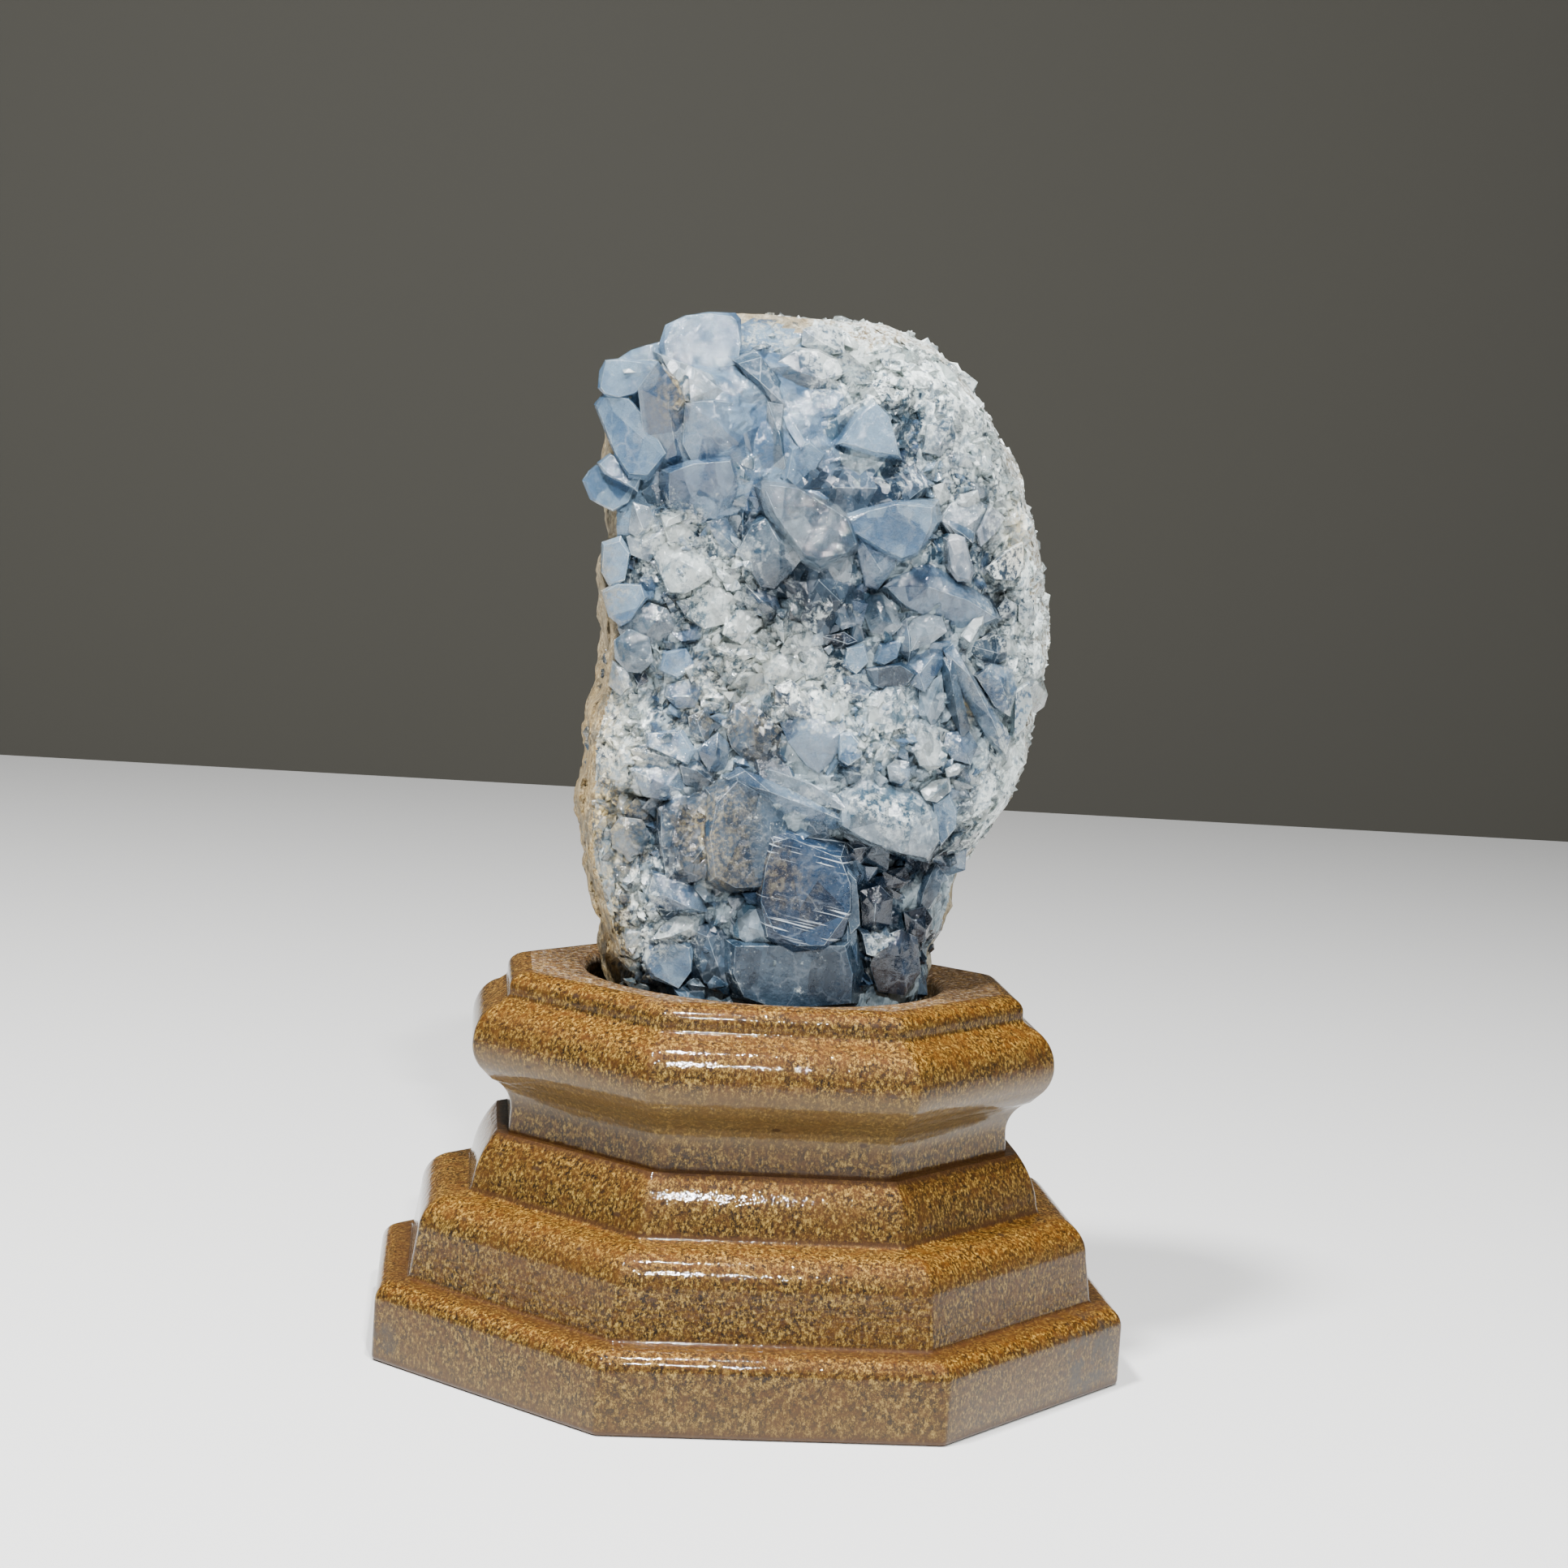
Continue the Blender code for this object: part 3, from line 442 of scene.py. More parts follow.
# Tone: deep and light colour, transmission, roughness range, frost share, slope of the facets, absorption
CRYSTAL_LOOKS = {
    "pale": ((0.11, 0.21, 0.35), (0.33, 0.49, 0.65), 0.65, (0.03, 0.20), 0.04, 0.12, 90.0),
    "blue": ((0.07, 0.14, 0.25), (0.25, 0.37, 0.50), 0.65, (0.03, 0.24), 0.08, 0.20, 150.0),
    "clear": ((0.12, 0.19, 0.27), (0.56, 0.65, 0.72), 0.85, (0.02, 0.12), 0.08, 0.20, 60.0),
    "grey": ((0.06, 0.11, 0.165), (0.34, 0.42, 0.48), 0.60, (0.03, 0.26), 0.14, 0.26, 120.0),
    "deep": ((0.015, 0.034, 0.058), (0.080, 0.130, 0.185), 0.40, (0.04, 0.30), 0.06, 0.22, 240.0),
    # The dark tone is near black: painted shade on the crystals deep in the cavity at the lower right
    "dark": ((0.001, 0.005, 0.014), (0.012, 0.032, 0.066), 0.40, (0.05, 0.30), 0.02, 0.24, 500.0),
    "white": ((0.13, 0.20, 0.25), (0.76, 0.84, 0.83), 0.60, (0.03, 0.22), 0.40, 0.55, 50.0),
    "frosted": ((0.05, 0.105, 0.155), (0.37, 0.46, 0.53), 0.45, (0.04, 0.30), 0.34, 0.50, 120.0),
    "granular": ((0.011, 0.024, 0.041), (0.078, 0.118, 0.165), 0.20, (0.05, 0.30), 0.22, 0.66, 250.0),
    "dusty": ((0.010, 0.023, 0.040), (0.050, 0.084, 0.122), 0.20, (0.12, 0.40), 0.06, 0.12, 200.0),
    "striated": ((0.005, 0.014, 0.032), (0.020, 0.046, 0.090), 0.25, (0.08, 0.24), 0.02, 0.05, 350.0),
    "column": ((0.19, 0.24, 0.30), (0.52, 0.56, 0.60), 0.50, (0.06, 0.26), 0.22, 0.16, 90.0),
    "edge": ((0.44, 0.54, 0.57), (0.93, 1.00, 0.98), 0.20, (0.03, 0.18), 0.60, 0.80, 10.0),
    "matrix": ((0.026, 0.052, 0.078), (0.34, 0.43, 0.47), 0.20, (0.05, 0.32), 0.34, 0.60, 150.0),
    "seam": ((0.06, 0.11, 0.16), (0.36, 0.44, 0.50), 0.30, (0.05, 0.30), 0.45, 0.40, 60.0),
}

# Fine pale dust lies on these
DUSTED = ("granular", "dusty", "deep", "matrix", "striated")

INDEX_OF_REFRACTION = 1.62
ABSORBED_TO = (0.45, 0.62, 0.80)
VEIN = (0.60, 0.67, 0.74)
# Near-black blue of the painted shade in the darkened places
PAINTED_SHADE_BLUE = (0.004, 0.012, 0.026)
# White of the grains and the dust, and of the painted glints
WHITE_GRAIN_DUST_AND_GLINT = (0.84, 0.92, 0.89)
STRIATION = (0.70, 0.79, 0.86)
OCHRE_ON_CRYSTAL = ((0.36, (0.13, 0.085, 0.030)), (0.52, (0.42, 0.30, 0.115)), (0.66, (0.80, 0.68, 0.38)))
OCHRE_ON_CRUST = ((0.34, (0.14, 0.085, 0.03)), (0.54, (0.38, 0.27, 0.115)), (0.70, (0.68, 0.55, 0.30)))
CRUST = ((0.32, (0.060, 0.054, 0.038)), (0.50, (0.27, 0.25, 0.185)), (0.68, (0.60, 0.57, 0.46)))
CRUST_SHADE = (0.13, 0.095, 0.048)
CRUST_FROST = (0.68, 0.75, 0.75)


def crystal_material(tone):
    """Cloudy see-through celestite: facets, veins, white grains with painted glints, near-black painted
    shade in the darkened places, and ochre stains.
    """
    low, high, through, rough, frost, slope, absorption = CRYSTAL_LOOKS[tone]
    look = NodeMaterial(f"celestite_{tone}")
    region = look.add("ShaderNodeAttribute", attribute_name="region").outputs["Color"]
    # The region holds shares of sugar, of painted shade (dark) and of stain
    sugar, dark, stain = look.split(region)[:3]
    broad = look.noise(190.0, 4.0, 0.6, 0.4)
    middle = look.noise(520.0, 5.0, 0.72, 0.6)
    fine = look.noise(1500.0, 4.0, 0.7)
    shards = look.stretched((1.0, 1.0, 0.55), (0.5, 0.6, 0.3))
    large_facets, patch = look.facets(shards, 330.0, slope * 0.8)
    small_facets, speck = look.facets(shards, 1250.0, slope)
    patch, speck = look.split(patch), look.split(speck)
    body = look.plus(
        look.times(broad, 0.7), look.times(middle, 0.3),
        look.times(look.plus(patch[0], -0.5), 0.30),
        look.times(look.plus(speck[0], -0.5), 0.06 + 0.25 * slope),
    )
    colour = look.ramp(body, (0.37, low), (0.64, high))

    wander = look.add("ShaderNodeTexNoise", {"Vector": look.where, "Scale": 330.0, "Detail": 3.0})
    shift = look.vector_math("MULTIPLY", wander.outputs["Color"], (0.004, 0.004, 0.004))["Vector"]
    bent = look.vector_math("ADD", look.where, shift)["Vector"]
    cracks = look.add(
        "ShaderNodeTexVoronoi", {"Vector": bent, "Scale": 240.0, "Randomness": 1.0},
        feature="DISTANCE_TO_EDGE",
    )
    veins = look.times(look.step(cracks.outputs["Distance"], 0.05, 0.0), look.step(broad, 0.42, 0.60))
    colour = look.mix(look.times(veins, 0.10 if tone in ("dusty", "striated") else 0.32), colour, VEIN)
    # Painted shade: the darkened places are painted a near-black blue
    painted_shade = look.times(dark, look.step(middle, 0.30, 0.62, 1.0, 0.45), 0.92)
    colour = look.mix(painted_shade, colour, PAINTED_SHADE_BLUE)

    patches = look.step(look.plus(middle, look.times(sugar, 0.50)), 0.64 - 0.30 * frost, 0.78)
    grains = look.step(look.plus(fine, look.times(sugar, 0.10)), 0.47, 0.62)
    frosty = look.step(middle, 0.62 - 0.3 * frost, 0.74)
    # Painted glints: white flecks on single small facets where the crystal is frosty
    painted_glints = look.times(look.step(speck[1], 0.82, 0.90), frosty, 0.95)
    dust = look.step(look.noise(2700.0, 3.0, 0.7), 0.61, 0.69)
    powder = look.times(dust, look.step(middle, 0.40, 0.60))
    cover = look.math("MAXIMUM", look.times(patches, grains), painted_glints)
    cover = look.math("MAXIMUM", cover, look.times(powder, 0.32 if tone in DUSTED else 0.2))
    cover = look.times(cover, look.plus(1.0, look.times(dark, -0.96)))
    colour = look.mix(cover, colour, WHITE_GRAIN_DUST_AND_GLINT)
    soiled = look.times(stain, look.step(middle, 0.33, 0.47), look.step(fine, 0.44, 0.56, 0.35, 1.0), 0.9)
    colour = look.mix(soiled, colour, look.ramp(fine, *OCHRE_ON_CRYSTAL))

    height = look.plus(large_facets, small_facets, look.times(fine, 0.00012))
    if tone in STRIATION_TILT:
        striped = look.striped(STRIATION_TILT[tone])
        bundles = look.step(look.noise(520.0, 2.0, 0.5, where=striped), 0.46, 0.58)
        grooves = look.times(look.step(look.noise(3300.0, 1.0, 0.5, where=striped), 0.57, 0.64), bundles)
        colour = look.mix(look.times(grooves, 0.6), colour, STRIATION)
        height = look.plus(height, look.times(grooves, 0.00012))
    look.set(
        Base_Color=colour, Roughness=look.step(look.noise(700.0, 3.0, 0.6), 0.35, 0.7, *rough),
        Transmission_Weight=through, Specular_IOR_Level=0.28 if tone in DUSTED else 0.5,
        IOR=INDEX_OF_REFRACTION,
    )
    look.bump(height, 1.0)
    volume = look.add("ShaderNodeVolumeAbsorption", {"Density": absorption, "Color": ABSORBED_TO})
    look.join(volume.outputs["Volume"], look.nodes["Material Output"].inputs["Volume"])
    return look.material


def crust_material():
    """Off-white to tan geode wall: stained by iron along the left edge, frosted white on the right."""
    look = NodeMaterial("geode_crust")
    x, _, z = look.add("ShaderNodeSeparateXYZ", {"Vector": look.where}).outputs
    broad = look.noise(130.0, 5.0, 0.6, 0.5)
    middle = look.noise(480.0, 5.0, 0.65, 0.3)
    fine = look.noise(1900.0, 4.0, 0.7)
    left = look.step(x, -0.0130, -0.0180)
    right = look.step(x, -0.002, 0.004)
    lower = look.plus(look.times(look.step(z, 0.084, 0.072), 0.5), 0.5)
    stain = look.math(
        "MAXIMUM", look.times(left, lower, look.step(middle, 0.38, 0.58)),
        look.times(look.step(broad, 0.47, 0.62), 0.45),
    )
    shade = look.times(left, look.step(fine, 0.40, 0.60, 0.75, 0.1))
    colour = look.mix(shade, look.ramp(middle, *CRUST), CRUST_SHADE)
    colour = look.mix(stain, colour, look.ramp(fine, *OCHRE_ON_CRUST))
    sugar = look.split(look.add("ShaderNodeAttribute", attribute_name="region").outputs["Color"])[0]
    patchy = look.step(look.plus(sugar, look.times(broad, 1.6)), 0.95, 1.45)
    frosting = look.times(patchy, right, look.step(fine, 0.40, 0.58), 0.85)
    look.set(Base_Color=look.mix(frosting, colour, CRUST_FROST), Roughness=0.75)
    look.bump(look.mix(0.35, middle, fine), 0.0018)
    return look.material

BOARD = (
    (0.40, (0.002, 0.001, 0.0002)), (0.465, (0.022, 0.010, 0.001)),
    (0.53, (0.078, 0.041, 0.0045)), (0.61, (0.27, 0.175, 0.044)),
)
DARK_GRAIN = (0.055, 0.020, 0.002)
# Painted light: multiplies the board where faces turn upwards, brightening the tops of the mouldings
PAINTED_LIGHT_ON_UPWARD_FACES = (2.6, 2.1, 1.45)
# Painted shade: a flat brown laid over faces that turn downwards, under the mouldings
PAINTED_UNDERSIDE_SHADE = (0.13, 0.085, 0.035)
BROAD_STAIN = (0.075, 0.030, 0.004)
FLECK = (0.030, 0.014, 0.006)
# Painted shade: dark brown of the lines in the grooves and under the bottom edge
PAINTED_CREASE_SHADE = (0.045, 0.018, 0.006)
SMUDGE = (0.028, 0.024, 0.020)
RAW_FUZZ = (0.62, 0.50, 0.36)

# Painted shade in the grooves and along the bottom edge: height and half width, in metres
PAINTED_SHADE_LINES = ((0.0250, 0.0007), (0.0188, 0.0005), (0.0091, 0.0005), (0.0003, 0.0010))

# Dirty smudges on the base: middle and radius, in metres
SMUDGES = (((0.0385, -0.0200, 0.0048), 0.0085), ((-0.0415, -0.0130, 0.0015), 0.0060))


def stand_material(name, raw):
    """Golden-brown fibreboard with fine specks: lacquered, or rough and pale on the top face. Painted
    light brightens faces that turn upwards; painted shade lies on faces that turn downwards and in the
    grooves.
    """
    look = NodeMaterial(name)
    level = look.add("ShaderNodeSeparateXYZ", {"Vector": look.where}).outputs["Z"]
    normal = look.add("ShaderNodeNewGeometry").outputs["Normal"]
    upwards = look.add("ShaderNodeSeparateXYZ", {"Vector": normal}).outputs["Z"]
    fine = look.noise(2600.0, 5.0, 0.85, where=look.stretched((1.0, 1.0, 0.7)))
    middle = look.noise(700.0, 5.0, 0.75, 0.2)
    broad = look.noise(55.0, 4.0, 0.6)
    board = look.ramp(fine, *BOARD)
    board = look.mix(look.times(look.step(middle, 0.44, 0.62), 0.62), board, DARK_GRAIN)
    # Painted light: faces that turn upwards are brightened towards orange
    board = look.mix(look.times(look.step(upwards, 0.25, 0.8), 0.42), board, PAINTED_LIGHT_ON_UPWARD_FACES, "MULTIPLY")
    # Painted shade on the undersides: faces that turn downwards are pulled towards a flat brown
    board = look.mix(look.times(look.step(upwards, 0.12, -0.35), 0.45), board, PAINTED_UNDERSIDE_SHADE)
    board = look.mix(look.times(look.step(broad, 0.45, 0.70), 0.28), board, BROAD_STAIN)
    cells = {"Vector": look.stretched((1.0, 1.0, 1.9)), "Scale": 150.0, "Randomness": 1.0}
    flecks = look.add("ShaderNodeTexVoronoi", cells).outputs["Distance"]
    board = look.mix(look.times(look.step(flecks, 0.10, 0.045), 0.9), board, FLECK)
    # Painted shade: dark lines along the creases and the bottom edge
    for height, reach in PAINTED_SHADE_LINES:
        away = look.math("ABSOLUTE", look.plus(level, -height))
        board = look.mix(look.times(look.step(away, reach, 0.0), 0.8), board, PAINTED_CREASE_SHADE)
    blotches = look.step(look.noise(420.0, 4.0, 0.7), 0.44, 0.60)
    for spot, size in SMUDGES:
        apart = look.vector_math("DISTANCE", look.where, spot)["Value"]
        board = look.mix(look.times(look.step(apart, size, size * 0.3), blotches, 0.8), board, SMUDGE)
    if raw:
        fuzz = look.step(look.noise(1300.0, 4.0, 0.8), 0.50, 0.66)
        board = look.mix(look.times(fuzz, 0.62), board, RAW_FUZZ)
        look.set(Roughness=0.62, Coat_Weight=0.15, Coat_Roughness=0.4)
    else:
        look.set(
            Roughness=0.5, Specular_IOR_Level=0.12,
            Coat_Weight=0.8, Coat_Roughness=0.035, Coat_IOR=1.30,
        )
    look.set(Base_Color=board)
    look.bump(look.mix(0.6, middle, fine), 0.00035 if raw else 0.00011)
    look.bump(look.noise(1500.0, 3.0, 0.6, where=look.stretched((0.5, 0.5, 1.0))), 0.00005, "Coat Normal")
    return look.material


# Mesh helpers


def finished_object(name, mesh, materials, replaced=None):
    """Links a mesh as a piece of the object that rides on the body."""
    obj = bpy.data.objects.new(name, mesh)
    bpy.context.scene.collection.objects.link(obj)
    for material in materials:
        mesh.materials.append(material)
    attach(obj, "root")
    if replaced:
        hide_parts(replaced)
    return obj


def mesh_from(name, points, faces):
    """A mesh from millimetre points."""
    mesh = bpy.data.meshes.new(name)
    mesh.from_pydata([Vector(p) * MM for p in points], [], faces)
    mesh.update()
    return mesh


def stacked_rings(rings, close_top=True):
    """Points and faces that join equal rings from bottom to top."""
    count = len(rings[0])
    faces = [tuple(reversed(range(count)))]
    for level in range(len(rings) - 1):
        low, high = level * count, (level + 1) * count
        for i in range(count):
            j = (i + 1) % count
            faces.append((low + i, low + j, high + j, high + i))
    if close_top:
        last = (len(rings) - 1) * count
        faces.append(tuple(range(last, last + count)))
    return [p for ring in rings for p in ring], faces


# Rock


def rock_limits(height):
    """Left, right, front and back of the rock at a height."""
    if height <= ROCK[0][0]:
        return list(ROCK[0][1:])
    for low, high in zip(ROCK, ROCK[1:]):
        if height <= high[0]:
            t = (height - low[0]) / (high[0] - low[0])
            return [a + (b - a) * t for a, b in zip(low[1:], high[1:])]
    return list(ROCK[-1][1:])


def rock_point(angle, height):
    """A point of the smooth rock surface. Angle 0 is its right side, and -90 faces the viewer."""
    left, right, front, back = rock_limits(height)
    power = 2 / ROCK_SQUARENESS
    across, away = math.cos(math.radians(angle)), math.sin(math.radians(angle))
    depth = back if away > 0 else -front
    x = (left + right) / 2 + (right - left) / 2 * math.copysign(abs(across) ** power, across)
    return Vector((x, depth * math.copysign(abs(away) ** power, away), height))


def rock_normal(angle, height):
    """The direction straight out of the smooth rock surface."""
    around = rock_point(angle + 2, height) - rock_point(angle - 2, height)
    upwards = rock_point(angle, height + 1.5) - rock_point(angle, height - 1.5)
    return around.cross(upwards).normalized()


def crust_relief(point):
    """How far the rough crust stands out from the smooth rock."""
    shift = Vector((5.0, 0.0, 0.0))
    broad = noise.noise(point / 7.5 + shift)
    fine = noise.noise(point / 3.1 - shift)
    lumps = noise.noise(point / 1.3 + shift)
    grit = noise.noise(point / 0.6 - shift)
    return 0.9 * broad + 0.7 * fine + 0.30 * lumps + 0.14 * grit


def outline_centre(row):
    """Middle and half size of one outlined crystal, with its outline in millimetres."""
    reach, pixels = row[1], row[4]
    flat = [from_photo(*map(float, pair.split(",")), -reach) for pair in pixels.split()]
    centre = sum(flat, Vector()) / len(flat)
    return centre, max((spot - centre).length for spot in flat), flat


def front_reach(x, z, centres):
    """How far the outlined crystals stand forward near a place, by distance."""
    apart = (centres[:, 0] - x) ** 2 + (centres[:, 2] - z) ** 2 + 2.0
    weight = apart ** -2.0
    return float((weight * -centres[:, 1]).sum() / weight.sum())


def rounded_reach(x, z, centres):
    """The reach of the crystal front, rounded off towards the sides and the top."""
    left, right, _, _ = rock_limits(z)
    out = max(-0.995, min(0.995, (x - (left + right) / 2) / ((right - left) / 2)))
    power = 7.0 if out < 0 else 3.4
    round_off = (1 - abs(out) ** power) ** (1 / power)
    cap = min(1.0, max(0.15, (119.0 - z) / 10.0)) ** 0.5
    return front_reach(x, z, centres) * round_off * cap


def blob_places(table):
    """A table of places on the front turned from photo pixels into millimetres."""
    places = []
    for u, v, half_u, half_v, strength in table:
        centre = from_photo(u, v, -16.0)
        wide = from_photo(u + half_u, v, -16.0).x - centre.x
        high = centre.z - from_photo(u, v + half_v, -16.0).z
        places.append((centre.x, centre.z, wide, high, strength))
    return places


def region_share(x, z, places):
    """Strength of the strongest place at a point of the front, or at many points."""
    share = 0.0 * x
    for at_x, at_z, wide, high, strength in places:
        near = ((x - at_x) / wide) ** 2 + ((z - at_z) / high) ** 2
        share = np.maximum(share, strength * np.exp(-near * 0.8))
    return share


def add_regions(mesh):
    """Stores at each point how sugary, how much painted shade and how stained the specimen is there."""
    flat = np.empty(3 * len(mesh.vertices))
    mesh.vertices.foreach_get("co", flat)
    x, y, z = (flat.reshape(-1, 3) / MM).T
    tables = [blob_places(table) for table in (SUGARED, PAINTED_SHADE_PLACES, STAINED)]
    hidden = np.where(y < 0, 1.0, 0.3)
    sugar, dark, stain = (region_share(x, z, table) * hidden for table in tables)
    heights = [row[0] for row in ROCK]
    right = np.interp(z, heights, [row[2] for row in ROCK])
    on_right = np.clip((x - right + 9.0) / 7.0, 0.0, 1.0)
    on_right *= np.clip((z - 56.0) / 8.0, 0.0, 1.0)
    on_top = np.clip((z - 106.0) / 6.0, 0.0, 1.0) * (x > 0.0)
    towards_front = np.clip((9.0 - y) / 9.0, 0.0, 1.0)
    sugar = np.maximum(sugar, np.maximum(on_right, on_top) * towards_front)
    layer = mesh.color_attributes.new("region", "FLOAT_COLOR", "POINT")
    layer.data.foreach_set("color", np.column_stack((sugar, dark, stain, np.ones_like(x))).ravel())


def make_rock(materials):
    """The geode wall and the crystal mass in front of it, flat where it stands in the recess."""
    centres = np.array([tuple(outline_centre(row)[0]) for row in OUTLINED])
    dark_places = blob_places([row for row in PAINTED_SHADE_PLACES if row[4] >= 0.85])
    rings = []
    for level in range(ROCK_LEVELS + 1):
        height = FOOT + (ROCK[-1][0] - FOOT) * level / ROCK_LEVELS
        fade = min(1.0, max(0.0, (height - FOOT) / RECESS_DEPTH))
        ring = []
        for i in range(ROCK_SIDES):
            angle = 360 * i / ROCK_SIDES
            point = rock_point(angle, height)
            outwards = rock_normal(angle, height) * crust_relief(point) * fade
            outwards.z *= 0.3
            point = point + outwards
            if height > STAND_TOP + GAP and point.y < 0:
                grown = min(1.0, (height - STAND_TOP) / 3.0)
                sunk = MASS_SUNK_TOP_LEFT if in_top_left(point.x, height) else MASS_SUNK
                sunk += 3.0 * float(region_share(point.x, height, dark_places))
                relief = mass_relief(point) * (0.35 if in_top_left(point.x, height) else 1.0)
                bulk = rounded_reach(point.x, height, centres) - sunk + relief
                point.y = min(point.y, -bulk * grown)
            if height < STAND_TOP + GAP:
                away = math.hypot(point.x, point.y)
                limit = RECESS_RADIUS - GAP
                if away > limit:
                    point.x *= limit / away
                    point.y *= limit / away
            point.z = max(point.z, FOOT)
            ring.append(tuple(point))
        rings.append(ring)
    points, faces = stacked_rings(rings, close_top=False)
    top = len(points)
    points.append((0.5, -0.4, ROCK_TOP - 0.3))
    first = top - ROCK_SIDES
    for i in range(ROCK_SIDES):
        faces.append((first + i, first + (i + 1) % ROCK_SIDES, top))
    mesh = mesh_from("geode_wall", points, faces)
    add_regions(mesh)
    for polygon in mesh.polygons:
        x, y, z = polygon.center / MM
        left = rock_limits(z)[0]
        polygon.material_index = 0
        ragged = 2.6 * noise.noise(polygon.center * 330.0)
        in_front = y < CRUST_FRONT + ragged and x > left + 1.0
        if in_front:
            polygon.material_index = 2 if in_top_left(x, z) else 1
        polygon.use_smooth = not in_front
    finished_object("geode_wall", mesh, materials, "celestite_cluster")


def in_top_left(x, z):
    """True in the smooth blue mass at the upper left."""
    return z > 95.0 + 0.25 * (x + 8.0) and x < 3.0


def mass_relief(point):
    """Broken facets on the crystal mass between the large crystals."""
    relief = 0.0
    for size, slope in ((2.6, 0.55), (1.3, 0.50)):
        flat = Vector((point.x, 0.0, point.z)) / size
        centre = noise.voronoi(flat)[1][0]
        tilt = noise.noise_vector(centre * 7.3 + Vector((3.1, 0.0, 8.2)))
        relief += slope * size * 1.6 * (tilt.x * (flat.x - centre.x) + tilt.z * (flat.z - centre.z))
    return max(-1.3, min(1.3, relief))


# Crystals


def hull_crystal(target, points, tone):
    """Adds the convex solid around the points to a bmesh, with its tone as material index."""
    verts = [target.verts.new(Vector(p) * MM) for p in points]
    result = bmesh.ops.convex_hull(target, input=verts, use_existing_faces=False)
    loose = result["geom_interior"] + result["geom_unused"]
    unused = list({v for v in loose if isinstance(v, bmesh.types.BMVert)})
    if unused:
        bmesh.ops.delete(target, geom=unused, context="VERTS")
    faces = [f for f in result["geom"] if isinstance(f, bmesh.types.BMFace) and f.is_valid]
    for face in faces:
        face.material_index = TONES.index(tone)


def outlined_crystal(target, row, rng):
    """One crystal from the table of outlines."""
    tone, _, lean_x, lean_z, _ = row
    centre, size, flat = outline_centre(row)
    left, right, _, _ = rock_limits(centre.z)
    near_edge = min(centre.x - left, right - centre.x, 118.0 - centre.z)
    growth = OUTLINE_GROWTH if near_edge > 4.0 else 1.0
    flare = 1.22 if near_edge > 6.0 else 0.92
    set_back = min(1.5, 0.24 * size)
    ridged = tone not in FLAT_TONES
    points = []
    for spot in flat:
        side = (spot - centre) * growth
        depth = max(-2.5, min(2.5, lean_x * side.x + lean_z * side.z))
        edge = centre + side + Vector((0, depth, 0))
        inset = rng.uniform(0.03, 0.22)
        if ridged:
            edge.y += rng.uniform(0.15, 0.8) * set_back
        else:
            points.append(edge + (centre - edge) * inset)
        points.append(edge + Vector((0, set_back * rng.uniform(0.3, 1.0), 0)))
        points.append(centre + side * flare + Vector((0, depth + set_back + 3.2, 0)))
        points.append(Vector((centre.x + side.x * 0.85, -5.0, centre.z + side.z * 0.85)))
    if ridged:
        along = max(((spot - centre) for spot in flat), key=lambda r: r.length)
        shift = Vector((rng.uniform(-0.2, 0.2), 0, rng.uniform(-0.2, 0.2))) * size
        for share in (-0.45, 0.5):
            crest = along * share * rng.uniform(0.6, 1.0)
            depth = lean_x * (crest.x + shift.x) + lean_z * (crest.z + shift.z)
            points.append(centre + crest + shift + Vector((0, depth - 0.1 * set_back, 0)))
    hull_crystal(target, points, tone)
    return centre, size


def small_crystal(target, tip, normal, width, tone, rng, root=2.4, flare=1.25):
    """One small crystal: a short ridge on an uneven ring that widens into its neighbours."""
    side = normal.orthogonal().normalized()
    side = Matrix.Rotation(rng.uniform(0, math.tau), 3, normal) @ side
    other = normal.cross(side)
    count = rng.choice((4, 4, 4, 5))
    height = rng.uniform(0.30, 0.75) * width
    points = [tip + side * width * rng.uniform(0.05, 0.40), tip - side * width * rng.uniform(0.05, 0.40)]
    for i in range(count):
        angle = math.tau * (i + rng.uniform(-0.25, 0.25)) / count
        radius = width / 2 * rng.uniform(0.75, 1.25)
        spoke = side * math.cos(angle) * radius + other * math.sin(angle) * radius * 0.85
        points.append(tip + spoke - normal * height * rng.uniform(0.7, 1.3))
        points.append(tip + spoke * flare - normal * (height + root))
    hull_crystal(target, points, tone)


def fill_between(target, centres, spacing, widths, sunk, clear, rng, places=()):
    """Crystals on a jittered grid over the front, between and behind the outlined ones."""
    z = 44.5
    middles = np.array([tuple(centre) for centre, _ in centres])
    while z < 117.0:
        left, right, _, _ = rock_limits(z)
        middle, half = (left + right) / 2, (right - left) / 2
        x = left + 0.8
        while x < right - 0.5:
            jitter = [rng.uniform(-0.4, 0.4) * spacing for _ in range(2)]
            here = Vector((x + jitter[0], 0, z + jitter[1]))
            x += spacing
            out = max(-0.995, min(0.995, (here.x - middle) / half))
            base = rounded_reach(here.x, here.z, middles)
            nearest = min(centres, key=lambda c: math.hypot(c[0].x - here.x, c[0].z - here.z) / c[1])
            if here.z > FILL_TOP:
                continue
            if places and rng.random() > float(region_share(here.x, here.z, places)) - 0.15:
                continue
            if math.hypot(nearest[0].x - here.x, nearest[0].z - here.z) < clear * nearest[1]:
                continue
            lean = Vector((out * 1.1 + rng.uniform(-0.7, 0.7), -1.0, rng.uniform(-0.5, 0.8)))
            tip = Vector((max(here.x, left + 1.2), -(base - rng.uniform(*sunk)), here.z))
            tone = region_tone(here.x, here.z, rng)
            small_crystal(target, tip, lean.normalized(), rng.uniform(*widths), tone, rng)
        z += spacing


